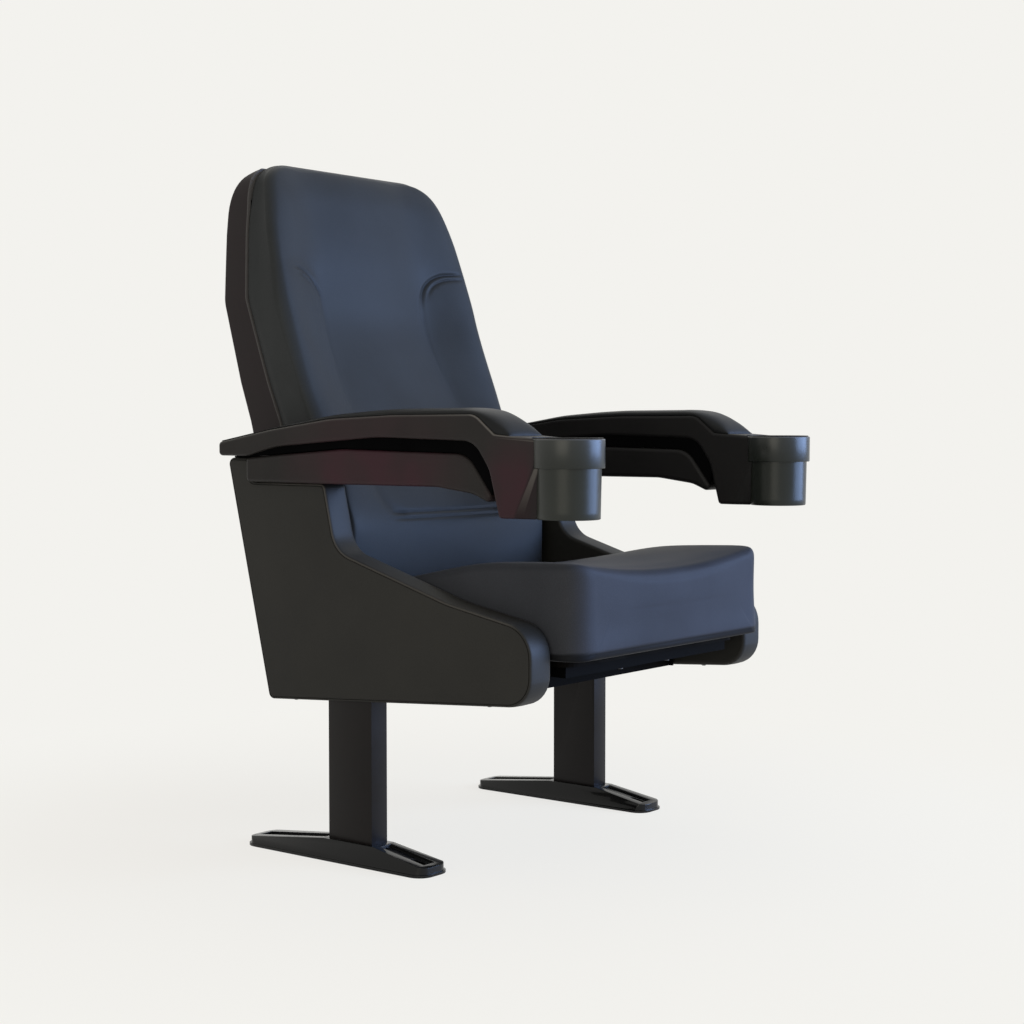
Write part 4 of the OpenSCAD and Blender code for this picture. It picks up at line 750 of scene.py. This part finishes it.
class SEAT_OT_side_panels(bpy.types.Operator):
    """Builds the padded side panels, with a sewn seam round each face"""

    bl_idname = "seat.side_panels"
    bl_label = "Side Panels"

    def execute(self, context):
        outline = rounded(PANEL)
        seam = 22.2 - sizes().panel_seam / MM
        profile = [
            (-23, 6.6), (-23, 5), (-22.6, 3.1), (-21.4, 1.5), (-19.6, 0.4), (-17, 0), (0, -0.4), (14, -0.2),
            (18.4, 0.05), (20.5, 0.35), (21.8, 0.95), (22.5, 1.8), (22.75, 2.5), (22.65, 2.9), (seam, 3.3),
            (seam, 3.7), (22.75, 4.2), (22.98, 4.8), (23.0, 5.6)]
        for word, side in SIDES:
            panel = slab(word + "_panel_cover", outline, profile, side)
            sliced(panel, [((0, FEET_Y + y * MM, 0), (0, 1, 0)) for y in range(-345, 200, 22)])
            sliced(panel, [((0, 0, z * MM), (0, 0, 1)) for z in range(246, 580, 22)])
            spots = places_of(panel)
            y, z = (spots[:, 1] - FEET_Y) / MM, spots[:, 2] / MM
            inside = far_from(np.column_stack([y, z]), outline, closed=True)
            across = (np.abs(spots[:, 0]) - STAND_X) / MM
            crown = sizes().panel_crown * smooth_step(9, 70, inside)
            crown += 0.0004 * np.sin(y / 37) * np.cos(z / 41) * smooth_step(20, 60, inside)
            spots[:, 0] += side * np.where((across > 22.9) & (inside > 8), crown, 0)
            put(panel, spots)
            nose = smooth_step(-318, -345, y) * (z < 380)
            upper_highlight = smooth_step(250, 300, z) * smooth_step(160, 110, y) * (1 - nose)
            # Painted shade: the sewn seam's groove is darkened, most at the nose.
            sewn = (across > 21) & (inside > 3.1) & (inside < 3.9)
            edge = (across > 21) & (inside > 0.5) & (inside < 3.0)
            marked(panel, "crease", np.where(sewn, 0.3 + 0.7 * nose, 0.0))
            # Painted highlight: the upper edges, away from the nose, are lightened as if they caught the light.
            marked(panel, "lip", np.where(edge, upper_highlight, 0.0))
            smooth(panel, 40)
            dressed(panel, "stand", "panel_leather", word + "_side_panel")
        return {"FINISHED"}


class SEAT_OT_beams(bpy.types.Operator):
    """Builds the fixed beams under the lifting arms"""

    bl_idname = "seat.beams"
    bl_label = "Arm Beams"

    def execute(self, context):
        for word, side in SIDES:
            beam = slab(word + "_beam_moulding", rounded(BEAM, CORNER_STEPS), round_profile(36, 6.5), side)
            smooth(beam, 35)
            dressed(beam, "stand", "arm_plastic", word + "_arm_beam")
        return {"FINISHED"}


class SEAT_OT_arms(bpy.types.Operator):
    """Builds the lifting arms and the necks that carry the cup holders"""

    bl_idname = "seat.arms"
    bl_label = "Lifting Arms"

    def execute(self, context):
        outline = rounded(ARM, CORNER_STEPS)
        hinge_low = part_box("left_arm_hinge")[0].z
        for word, side in SIDES:
            arm = slab(word + "_arm_moulding", outline, round_profile(41.5, 5, flat=0.7, inner=37), side)
            self.waist(arm)
            cut(arm, turned("cutter", [(30, 500), (43.2, 500), (43.25, 520), (44.35, 577.2), (48.8, 577.2),
                                       (48.8, 660), (30, 660)], side))
            x = side * STAND_X
            for half, front, rear, low, high in (
                    (0.0305, 0.191, 0.23, 0.57, 0.6065), (0.0203, 0.11, 0.2, 0.58, hinge_low + 0.0055)):
                cut(arm, block((x - half, FEET_Y + front, low), (x + half, FEET_Y + rear, high)))
            smooth(arm, 30)
            self.paint_edge_highlight(arm, side)
            dressed(arm, word + "_arm", "arm_plastic", word + "_arm_shell")
            self.shade_walls(word, side, outline)
        return {"FINISHED"}

    def waist(self, arm):
        """Draws both flanks in between the leg and the cup, from a slanting crease."""
        steps = (0.05, 2, 4.5, 8, 12, 17, 23, 30, 38)
        sliced(arm, [(CREASE + CREASE_WAY * step * MM, CREASE_WAY) for step in steps])
        spots = places_of(arm)
        past = np.maximum(0, (spots - np.array(CREASE)) @ np.array(CREASE_WAY)) / MM
        middle = math.copysign(STAND_X, spots[0, 0])
        drawn = 1 - 0.2 * (1 - np.exp(-past ** 2 / (past + 9) / 11))
        spots[:, 0] = middle + (spots[:, 0] - middle) * drawn
        put(arm, spots)

    def paint_edge_highlight(self, arm, side):
        """Marks a painted highlight along the top edges, which narrows to the outer edge on the neck."""
        spots, facing = places_of(arm), normals_of(arm)
        out = (np.abs(spots[:, 0]) - STAND_X) / MM
        nose = smooth_step(-262, -275, (spots[:, 1] - FEET_Y) / MM)
        turn = side * facing[:, 0]
        edge = smooth_step(0.15, 0.35, turn) * smooth_step(0.85, 0.6, turn) * (facing[:, 2] > 0.15)
        # Painted light: the outer band of the top is lightened a little, as if lit from above.
        top_highlight = 0.3 * smooth_step(0.3, 0.9, facing[:, 2]) * (out > 36)
        marked(arm, "lip", top_highlight * (1 - nose) + edge * nose * (out > 27))

    def shade_walls(self, word, side, outline):
        """Near-black walls inside the arm that fill the gap between the arm and its beam: painted shade."""
        half_wall = 1.5
        beam = drawn_in(rounded(BEAM, CORNER_STEPS), -1.0)[CORNER:4 * CORNER + 3]
        arm = drawn_in(outline[CORNER:7 * CORNER], 1.5)[1:-1]
        edge = [p for p in reversed(beam) if p[0] < 163]
        edge += [p for p in reversed(arm) if p[1] > 526 and p[0] < 186]
        for place, name in ((-32.5, "_inner"), (32.5, "_outer")):
            wall = swept(word + name + "_arm_skirt", [
                [beside(side, x, y, z) for y, z in edge] for x in (place - half_wall, place + half_wall)])
            smooth(wall, 35)
            # Painted shade: a near-black finish without gloss on the walls in the gap.
            dressed(wall, word + "_arm", "arm_plastic", finish="Dark Plastic")


class SEAT_OT_pads(bpy.types.Operator):
    """Builds the crowned pads on top of the arms"""

    bl_idname = "seat.pads"
    bl_label = "Arm Pads"

    def execute(self, context):
        neck, neck_z = -312, 622
        top = rounded(ARM, CORNER_STEPS)[9 * CORNER - 1:14 * CORNER - 1]
        top = [p for p in top if p[0] > neck] + [(neck - 5.0 * k, neck_z - 0.42 * k) for k in range(1, 6)]
        crown = sizes().pad_crown / MM
        for word, side in SIDES:
            rings = []
            for y, z in even_line(top, 6.0):
                # The crown fades in from the rear, and the nose falls away over the last 91 mm
                down = min(1.0, max(0.0, (-247 - y) / 91))
                fade = min(1.0, max(0.3, (218 - y) / 304))
                crest = 616 + 42 * max(0.0, 1 - down * down) ** 0.62 if down > 0 else z + crown * fade
                rings.append(self.section(y, z, max(1.4, crest - z), side))
            rings = self.closing(rings[0]) + rings + self.closing(rings[-1])[::-1]
            pad = swept(word + "_pad_cover", rings)
            rim = np.abs(np.abs(places_of(pad)[:, 0]) - STAND_X) / MM
            # Painted shade: the pad is darkened along its rim at both sides.
            marked(pad, "crease", np.where(rim > 34.5, 0.35, 0.0))
            smooth(pad, 60)
            dressed(pad, word + "_arm", "pad_leather", word + "_arm_pad")
        return {"FINISHED"}

    def section(self, y, z, rise, side):
        """One cross-section of a pad: flat below, a rolled rim and a crowned top, narrower inwards."""
        half, inner, bow = 38, 0.92, 0.62
        rim = min(1.2, rise * 0.4)
        ring = [(s * half, -0.2) for s in (-0.93, -0.5, 0.0, 0.5, 0.93)]
        ring += [(half * 0.985, 0.1), (half, rim)]
        for k in range(1, 18):
            a = math.pi * k / 18
            s = math.cos(a)
            ring.append((half * math.copysign(abs(s) ** bow, s), rise * math.sin(a) ** bow))
        ring += [(-half, rim), (-half * 0.985, 0.1)]
        return [beside(side, x * (inner if x < 0 else 1), y, z + h) for x, h in ring]

    def closing(self, ring):
        """Rings that open out from a short line to a pad's end."""
        x, z = (sum(p[i] for p in ring) / len(ring) for i in (0, 2))
        return [[(x + (p[0] - x) * (0.35 + 0.65 * share), p[1], z + (p[2] - z) * share) for p in ring]
                for share in (0.0, 0.5, 0.9)]


class SEAT_OT_cups(bpy.types.Operator):
    """Builds the cup holders: rim band, outer cup and liner"""

    bl_idname = "seat.cups"
    bl_label = "Cup Holders"

    band = [
        (44.9, 577.5), (47.5, 577.5), (48.2, 577.8), (48.5, 578.5), (48.7, 614.2), (48.4, 615.4), (47.5, 616),
        (45.6, 616), (44.9, 615.4)]
    wall = [
        (30, 510), (41.2, 510), (42.3, 510.4), (42.9, 511.4), (43.1, 520), (44.3, 585.5), (44.4, 587),
        (44.4, 615.7), (41.3, 615.7), (41.1, 614), (41.1, 513.2), (30, 513.1)]
    lining = [
        (25, 513.6), (39.6, 513.6), (40.4, 513.9), (40.7, 514.6), (40.7, 616), (45.5, 616), (46.1, 616.3),
        (46.3, 617), (45.9, 617.5), (40.6, 617.6), (39.8, 617.3), (39.5, 616.5), (39.5, 516.4), (39.1, 515.2),
        (37.9, 514.8), (25, 514.8)]

    def execute(self, context):
        for word, side in SIDES:
            for name, profile, slot, node in (
                    ("_cup_band", self.band, "cup_plastic", "_cup_ring"),
                    ("_cup_wall", self.wall, "cup_plastic", "_cup_body"),
                    ("_cup_lining", self.lining, "liner_plastic", "_cup_liner")):
                banded = node == "_cup_ring"
                piece = turned(word + name, profile, side, 128, loop=banded)
                smooth(piece, 50)
                if banded:
                    # Painted highlight: a light line along the band's top edge.
                    marked(piece, "lip", smooth_step(0.6138, 0.6152, places_of(piece)[:, 2]))
                dressed(piece, word + "_arm", slot, word + node)
        return {"FINISHED"}


# ---------------------------------------------------------------- cushions


def round_off(distance, radius):
    return 0.0 if distance >= radius else radius - math.sqrt(radius * radius - (radius - distance) ** 2)


SEAT_HEIGHTS = [(0, 0.61), (0.18, 0.69), (0.35, 0.8), (0.6, 0.95), (0.8, 0.99), (0.95, 1), (1, 1)]
SEAT_DISH = [(0, -0.2), (0.3, 0.2), (0.6, 0.7), (0.85, 1), (1, 1)]
SEAT_STEPS = [
    0, 0.9, 3.4, 8, 14, 21, 30, 41, 55, 72, 92, 115, 140, 168, 198, 230, 262, 294, 324, 352, 374, 392, 404, 413,
    418.5, 420]


class SEAT_OT_seat_cushion(bpy.types.Operator):
    """Builds the seat cushion, dished across with a deep rounded front"""

    bl_idname = "seat.seat_cushion"
    bl_label = "Seat Cushion"

    front, depth, low, thickness, half = -403.0, 420.0, 313.0, 133.0, 248.0

    def section(self, d):
        """One cross-section at a distance from the front."""
        edge, under = 13, 6
        from_rear = self.depth - d
        half = self.half - round_off(d, 40)
        low = self.low + round_off(d, 6)
        height = self.thickness * eased(SEAT_HEIGHTS, 1 - d / self.depth)
        top_z = self.low + height + 1 - round_off(d, 14) - round_off(from_rear, 12)
        dish = 18 * eased(SEAT_DISH, 1 - d / self.depth)
        flat, rim = half - edge, top_z - edge
        pull = sizes().seat_pull / MM
        across = (-1, -0.93, -0.8, -0.6, -0.4, -0.2, 0, 0.2, 0.4, 0.6, 0.8, 0.93, 1)
        ring = [(s * (half - under), low) for s in across]
        for k in range(1, 5):
            a = math.pi / 8 * k
            ring.append((half - under + under * math.sin(a), low + under * (1 - math.cos(a))))
        for k in range(1, 5):
            t = k / 5
            ring.append((half - pull * math.sin(math.pi * t), low + under + (rim - low - under) * t))
        for k in range(5):
            a = math.pi / 10 * k
            ring.append((flat + edge * math.cos(a), rim + edge * math.sin(a)))
        top = [(s * flat, top_z - dish * (1 - s * s)) for s in reversed(across)]
        mirrored = [(-x, z) for x, z in reversed(ring[len(across):])]
        return [at(x, self.front + d, z) for x, z in ring + top + mirrored]

    def cap(self, ring, way, height):
        """Rings that close one end round a line, with a soft swell."""
        made = []
        for share in (0.94, 0.82, 0.64, 0.42, 0.2, 0):
            row = []
            for x, y, z in ring:
                middle = max(-0.16, min(0.16, x))
                x, z = middle + (x - middle) * share, height + (z - height) * share
                swell = 0.003 * max(0, 1 - (x / 0.2) ** 2) * max(0, 1 - ((z - height) / 0.055) ** 2)
                row.append((x, y + way * swell, z))
            made.append(row)
        return made

    def execute(self, context):
        rings = [self.section(d) for d in SEAT_STEPS]
        rings = self.cap(rings[0], -1, 0.378)[::-1] + rings + self.cap(rings[-1], 1, 0.352)
        seat = swept("seat_cushion_cover", rings)
        subdivided(seat, 1)
        spots = places_of(seat)
        under = smooth_step(0.325, 0.315, spots[:, 2])
        back = smooth_step(FEET_Y + 0.002, FEET_Y + 0.014, spots[:, 1])
        filled_out(seat, np.maximum(under, back))
        subdivided(seat, 1)
        spots = places_of(seat)
        cap = smooth_step(FEET_Y - 0.372, FEET_Y - 0.392, spots[:, 1])[:, None]
        spots = spots * (1 - cap) + evened(seat, spots, rounds=12) * cap
        put(seat, spots)
        trim = smooth_step(0.327, 0.3235, spots[:, 2])
        put(seat, spots - normals_of(seat) * (trim * 0.0012)[:, None])
        # Painted shade: the tucked-in band along the bottom is darkened.
        marked(seat, "crease", trim * 0.9)
        smooth(seat, 80)
        dressed(seat, "seat", "seat_leather", "seat_cushion")
        return {"FINISHED"}


# Sizes of the back at heights, as (z, y) and (z, half width). A wing's depth is a share of the deepest
SEAM = [(336, 62.1), (828, 237.5), (1044, 259.5)]
REAR = [(336, 153.8), (821.7, 289.5), (964.7, 300.5), (1000.1, 294), (1019.9, 283), (1036, 265)]
FRONT = [
    (336, 27), (345, 20), (400, 20), (474, 20), (500, 27), (560, 56), (642, 92), (725, 128), (800, 156),
    (850, 171), (900, 185.5), (940, 197), (970, 206.5), (1000, 217), (1017, 225), (1030, 231), (1040, 238),
    (1044, 244)]
HALF = [
    (336, 227), (345, 231), (828, 231), (850, 228.7), (900, 222.7), (940, 217.4), (970, 210.2), (1000, 201.4),
    (1017, 194), (1030, 180), (1036, 168.6), (1040, 159.4), (1044, 140)]
WINGS = [
    (336, 0), (474, 0.1), (560, 0.4), (642, 0.7), (725, 0.92), (775, 1), (850, 0.8), (900, 0.6), (970, 0.4),
    (1044, 0.1)]
BACK_LEVELS = [
    336, 337.5, 341, 347, 358, 376, 400, 425, 450, 470, 484, 496, 510, 528, 550, 575, 602, 630, 658, 686, 714, 742,
    768, 792, 812, 828, 846, 866, 888, 910, 932, 952, 970, 986, 1000, 1012, 1022, 1030, 1036, 1040.5, 1043.2]
# The back's channels, as (x, z): round a wing, its twin line, and up from the end of the low line
SHOULDER = smooth_line([
    (214, 889), (190, 888), (168, 885.5), (149, 878), (134, 866), (125, 850), (121, 830), (119.5, 803), (121, 775),
    (124, 745), (128, 712), (134, 670)])
TWIN = smooth_line([(214, 881), (190, 880), (170, 876.5), (153, 869), (141, 858), (134, 845)])
RISE = smooth_line([(112, 500), (132, 505), (146, 520), (152, 545), (156, 585)])
# Least distance of the back's front face ahead of its seam
FACE = 0.02


def upper_widening(z):
    return 4.5 * float(smooth_step(645, 700, z))


def ahead_of_seam(spots):
    """How far each place lies ahead of the seam between the back cushion and the shell."""
    return np.interp(spots[:, 2], [z * MM for z, _ in SEAM], [FEET_Y + y * MM for _, y in SEAM]) - spots[:, 1]


class SEAT_OT_back_cushion(bpy.types.Operator):
    """Builds the back cushion with wings, shoulder channels and a lumbar pad"""

    bl_idname = "seat.back_cushion"
    bl_label = "Back Cushion"

    across = (1, 0.9, 0.75, 0.6, 0.45, 0.3, 0.15, 0)

    def section(self, z):
        """One level cross-section."""
        half = eased(HALF, z) + upper_widening(z) + 8 * float(smooth_step(552, 515, z))
        seam = straight(SEAM, z)
        front = eased(FRONT, z) - 2.5
        depth = seam - front
        edge = min(14.0 - 6 * float(smooth_step(560, 520, z)), depth * 0.42)
        reach = half - edge
        wing = min(112.0, 0.78 * reach)
        recess = 35 * eased(WINGS, z)
        lumbar = 6 * min(1.0, max(0.0, (z - 336) / 158))
        rear = [(s * (half - 4), seam) for s in [-s for s in self.across] + list(self.across[-2::-1])]
        side = [(half - 1.4, seam - 0.8), (half - 0.2, seam - 3.2)]
        for t in (0.15, 0.32, 0.5, 0.68, 0.85, 0.95):
            pull = 1.8 * math.sin(math.pi * t)
            side.append((half - 0.2 - pull, seam - 3.2 - (depth - edge - 3.2) * t))
        for k in range(5):
            a = math.pi / 10 * k
            side.append((reach + edge * math.cos(a), front + edge * (1 - math.sin(a))))
        face = []
        for s in self.across:
            x = s * reach
            t = max(0.0, min(1.0, (abs(x) - wing) / (reach - wing)))
            hollow = recess * (1 + math.cos(math.pi * t)) / 2
            crown = lumbar * max(0.0, 1 - (x / wing) ** 2)
            face.append((x, min(front + hollow - crown, seam - 8)))
        half_ring = side + face
        mirrored = [(-x, y) for x, y in reversed(half_ring[:-1])]
        return [at(x, y, z) for x, y in rear + half_ring + mirrored]

    def closing(self, ring, way):
        """Rings that close one end round a line, bulging outwards by a little."""
        low = ring[0][2] < 0.5
        reach, y = (0.19, FEET_Y + 40 * MM) if low else (0.12, FEET_Y + 252 * MM)
        made = []
        for share in (0.75, 0.5, 0.25, 0.0):
            push = way * 0.0008 * (1 - share * share)
            row = []
            for p in ring:
                x = max(-reach, min(reach, p[0]))
                row.append((x + (p[0] - x) * share, y + (p[1] - y) * share, p[2] + push))
            made.append(row)
        return made

    def execute(self, context):
        rings = [self.section(z) for z in BACK_LEVELS]
        rings = self.closing(rings[0], -1)[::-1] + rings + self.closing(rings[-1], 1)
        back = swept("back_cushion_cover", rings)
        subdivided(back, 1)
        spots = places_of(back)
        ahead = ahead_of_seam(spots)
        rear = smooth_step(0.014, 0.004, ahead)
        shoulder = bell(far_from(np.abs(spots[:, ::2]) / MM, SHOULDER), 14) * 0.8 * (ahead > FACE)
        filled_out(back, np.maximum(rear, shoulder))
        subdivided(back, 1)
        spots = places_of(back)
        most = np.where(spots[:, 2] > 0.55, 0.2366, 0.245)
        spots[:, 0] = np.clip(spots[:, 0], -most, most)
        put(back, spots)
        self.refine(back)
        self.sew(back)
        smooth(back, 80)
        dressed(back, "back", "back_leather", "back_cushion")
        return {"FINISHED"}

    def refine(self, back):
        """Splits the faces near the channels so that they can hold a narrow groove."""
        pick(back)
        bpy.ops.object.mode_set(mode="EDIT")
        bpy.ops.mesh.select_all(action="DESELECT")
        mesh = bmesh.from_edit_mesh(back.data)
        centres = np.array([face.calc_center_median()[:] for face in mesh.faces])
        flat = np.abs(centres[:, ::2]) / MM
        near = far_from(flat, SHOULDER) < 17
        near |= (np.abs(flat[:, 1] - 496) < 13) & (flat[:, 0] < 150)
        near &= ahead_of_seam(centres) > FACE
        for face, chosen in zip(mesh.faces, near):
            face.select_set(bool(chosen))
        bmesh.update_edit_mesh(back.data)
        bpy.ops.mesh.subdivide(number_cuts=2, smoothness=0)
        bpy.ops.object.mode_set(mode="OBJECT")

    def sew(self, back):
        """Presses the sewn channels into the front face. The right shoulder's lie lower and are fainter."""
        wide = sizes().channel_half / MM
        spots, normals = places_of(back), normals_of(back)
        right = spots[:, 0] < 0
        x, z = np.abs(spots[:, 0]) / MM, spots[:, 2] / MM
        facing = smooth_step(0.2, 0.5, -normals[:, 1]) * (ahead_of_seam(spots) > FACE)
        faint = right * smooth_step(815, 868, z)
        z = z + 10 * faint
        flat = np.column_stack([x, z])
        away, under, corner = (far_from(flat, line) for line in (SHOULDER, TWIN, RISE))
        top_part = smooth_step(825, 866, z)
        end = np.where(right, smooth_step(196, 172, x), smooth_step(218, 190, x))
        tail = smooth_step(665, 770, z)
        main = bell(away, wide + 1.4 * (1 - top_part)) * (0.2 + 0.8 * top_part) * tail * end
        fade = smooth_step(131, 152, x) * end
        twin = bell(under, wide * 0.85) * fade * 0.75
        ridge = bell(away - 4.2, wide) * bell(under - 4.2, wide) * fade * 0.3
        middle = smooth_step(150, 112, x)
        low_lines = bell(z - 500.5, wide) * middle * 0.6 + bell(z - 491.0, wide) * middle * 0.5
        rise = bell(corner, 7.5) * smooth_step(600, 520, z) * 0.4
        press = (main + twin - ridge) * (1 - 0.45 * faint) + low_lines + rise
        lean = 0.0005 * np.sin(x / 37 + 1.3) * np.sin(z / 71)
        put(back, spots - normals * ((press * sizes().channel_depth + lean) * facing)[:, None])
        # Painted shade: the pressed channels are darkened with their depth.
        marked(back, "crease", np.clip(press, 0, 1) * facing * 0.75)


class SEAT_OT_back_shell(bpy.types.Operator):
    """Builds the moulded rear shell with a bead along its front lip"""

    bl_idname = "seat.back_shell"
    bl_label = "Rear Shell"

    # Heights of the closed foot, of the hollow part and of the closed top
    foot = [336, 336.8, 340]
    hollow = [340, 352, 400, 460, 520, 580, 640, 700, 760, 800, 819, 824.5, 830, 860, 900, 930, 950, 965, 975, 984]
    top = [984, 992, 1000, 1006, 1012, 1017, 1021, 1025, 1028, 1030.5, 1032.5, 1034, 1035.5]

    def path(self, half, seam, rear, bead):
        """One side-to-side path of the shell, as (x, y)."""
        depth = max(rear - seam, 0.4)
        radius = min(5.0, 0.9 * depth, half)
        right = [(half - 0.3, seam + 0.35), (half + bead, seam + min(0.9, depth * 0.3)),
                 (half + bead, seam + min(3.0, depth * 0.5)), (half, seam + min(4.2, depth * 0.6))]
        for k in range(8):
            a = math.pi / 14 * k
            right.append((half - radius * (1 - math.cos(a)), rear - radius * (1 - math.sin(a))))
        flat = half - radius
        bow = [(flat * s, rear + 2.5 * (1 - (flat * s / max(flat, 1)) ** 2)) for s in (0.66, 0.33, 0)]
        right += bow
        return right + [(-x, y) for x, y in reversed(right[:-1])]

    def ring(self, z, hollow):
        half = eased(HALF, min(z, 1036)) if z > 345 else 231 - 4 * (345 - z) / 9
        half += upper_widening(z) + 4.5 * float(smooth_step(950, 1000, z))
        seam = straight(SEAM, z)
        rear = eased(REAR[1:], z) if z > REAR[2][0] else straight(REAR, z)
        outer = self.path(half, seam, rear - 0.5, sizes().shell_bead / MM)
        if hollow:
            inner = self.path(half - 4, seam, max(rear - 5.4, seam + 0.4), 0)
        else:
            inner = [(x * (half - 4) / half, seam + 0.45) for x, _ in outer]
        return [at(x, y, z) for x, y in outer + inner[::-1]]

    def execute(self, context):
        rings = [self.ring(z, is_hollow) for levels, is_hollow in (
            (self.foot, False), (self.hollow, True), (self.top, False)) for z in levels]
        shell = swept("back_shell_moulding", rings)
        # Painted highlight: a light line along the bead at the shell's front lip.
        marked(shell, "lip", smooth_step(0.0034, 0.0012, -ahead_of_seam(places_of(shell))))
        smooth(shell, 35)
        dressed(shell, "back", "shell_plastic", "back_shell")
        return {"FINISHED"}


# ---------------------------------------------------------------- stage

# name, place, target, size, power, colour
LAMPS = (
    ("Window", (2.0, -2.85, 1.2), (0, -0.1, 0.5), (2.8, 2.0), 235, (0.36, 0.55, 1.0)),
    ("Ceiling", (0.8, 1.5, 3.3), (0, 0, 0.4), (3.0, 3.0), 8, (1.0, 0.99, 0.95)),
    ("Wall", (-3.1, -1.15, 1.2), (0, 0, 0.5), (1.9, 1.8), 22, (1.0, 0.95, 0.8)))


def hung(name, data, place, way):
    """Puts a lamp or a camera at a place, looking along a way."""
    holder = bpy.data.objects.new(name, data)
    bpy.context.scene.collection.objects.link(holder)
    holder.location = place
    holder.rotation_euler = way.to_track_quat("-Z", "Y").to_euler()
    return holder


def mixed(tree, factor, a, b):
    return add(tree, "ShaderNodeMixShader", {0: factor, 1: a, 2: b}).outputs[0]


def glow(tree, kind, colour):
    return add(tree, kind, {"Color": (*colour, 1)}).outputs[0]


class SEAT_OT_stage(bpy.types.Operator):
    """Sets the camera, the lamps, the room and the floor"""

    bl_idname = "seat.stage"
    bl_label = "Camera, Light and Floor"

    def execute(self, context):
        scene = context.scene
        scene.view_settings.view_transform = "Standard"
        camera = bpy.data.cameras.new("Camera")
        camera.lens = 65.0
        camera.sensor_width = 36.0
        heading, dip = math.radians(37.984), math.radians(2.778)
        gaze = Vector((math.cos(dip) * math.cos(heading), math.cos(dip) * math.sin(heading), -math.sin(dip)))
        scene.camera = hung("Camera", camera, (-2.241, -1.768, 0.638), gaze)
        for name, place, target, size, power, colour in LAMPS:
            light = bpy.data.lights.new(name, "AREA")
            light.shape = "RECTANGLE"
            light.size, light.size_y = size
            light.energy = power
            light.color = colour
            hung(name, light, place, Vector(target) - Vector(place))
        self.room(scene)
        self.floor()
        return {"FINISHED"}

    def background_rays(self, tree):
        """1 where a ray should see the plain background"""
        path = add(tree, "ShaderNodeLightPath").outputs
        total = maths(tree, "ADD", path["Is Camera Ray"], path["Is Glossy Ray"])
        return maths(tree, "ADD", total, path["Is Transmission Ray"], clamp=True)

    def room(self, scene):
        world = bpy.data.worlds.new("Room")
        scene.world = world
        world.use_nodes = True
        tree = world.node_tree
        tree.nodes.clear()
        lit = glow(tree, "ShaderNodeBackground", (0.46, 0.46, 0.455))
        seen = glow(tree, "ShaderNodeBackground", colours().background)
        add(tree, "ShaderNodeOutputWorld", {0: mixed(tree, self.background_rays(tree), lit, seen)})

    def floor(self):
        """A pale round floor that fades into the background"""
        start()
        bpy.ops.mesh.primitive_circle_add(vertices=96, radius=6, fill_type="NGON")
        floor = bpy.context.object
        floor.name = "floor"
        material, tree, shader, place = new_material("Floor")
        feed(tree, shader, {
            "Base Color": (0.19, 0.162, 0.108, 1), "Roughness": 1.0, "Specular IOR Level": 0.0})
        lifted = add(tree, "ShaderNodeAddShader", {
            0: shader.outputs[0], 1: glow(tree, "ShaderNodeEmission", (0.74, 0.738, 0.73))}).outputs[0]
        near = mixed(tree, self.background_rays(tree), shader.outputs[0], lifted)
        away = add(tree, "ShaderNodeVectorMath", {0: place}, operation="LENGTH").outputs["Value"]
        fade = add(tree, "ShaderNodeMapRange", {"Value": away, "From Min": 0.45, "From Max": 1.3},
                   interpolation_type="SMOOTHSTEP").outputs[0]
        plain = glow(tree, "ShaderNodeEmission", colours().background)
        feed(tree, tree.nodes["Material Output"], {"Surface": mixed(tree, fade, near, plain)})
        floor.data.materials.append(material)


class SEAT_PT_panel(bpy.types.Panel):
    """Steps, sizes and colours of the cinema seat"""

    bl_idname = "SEAT_PT_panel"
    bl_label = "Cinema Recliner Seat"
    bl_space_type = "VIEW_3D"
    bl_region_type = "UI"
    bl_category = "Seat"

    def draw(self, context):
        layout = self.layout
        for step in STEPS:
            layout.operator(step.bl_idname)
        for group in (context.scene.seat_sizes, context.scene.seat_colours):
            box = layout.box()
            for name in group.__annotations__:
                box.prop(group, name)


STEPS = (
    SEAT_OT_finishes, SEAT_OT_stage, SEAT_OT_stands, SEAT_OT_side_panels, SEAT_OT_beams, SEAT_OT_arms,
    SEAT_OT_pads, SEAT_OT_cups, SEAT_OT_seat_cushion, SEAT_OT_back_shell, SEAT_OT_back_cushion)
CLASSES = (SeatSizes, SeatColours, *STEPS, SEAT_PT_panel)


def register():
    for item in CLASSES:
        bpy.utils.register_class(item)
    bpy.types.Scene.seat_sizes = bpy.props.PointerProperty(type=SeatSizes)
    bpy.types.Scene.seat_colours = bpy.props.PointerProperty(type=SeatColours)


def unregister():
    del bpy.types.Scene.seat_colours
    del bpy.types.Scene.seat_sizes
    for item in reversed(CLASSES):
        bpy.utils.unregister_class(item)


def main():
    register()
    for step in STEPS:
        group, name = step.bl_idname.split(".")
        getattr(getattr(bpy.ops, group), name)()
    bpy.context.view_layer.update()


if __name__ == "__main__":
    main()
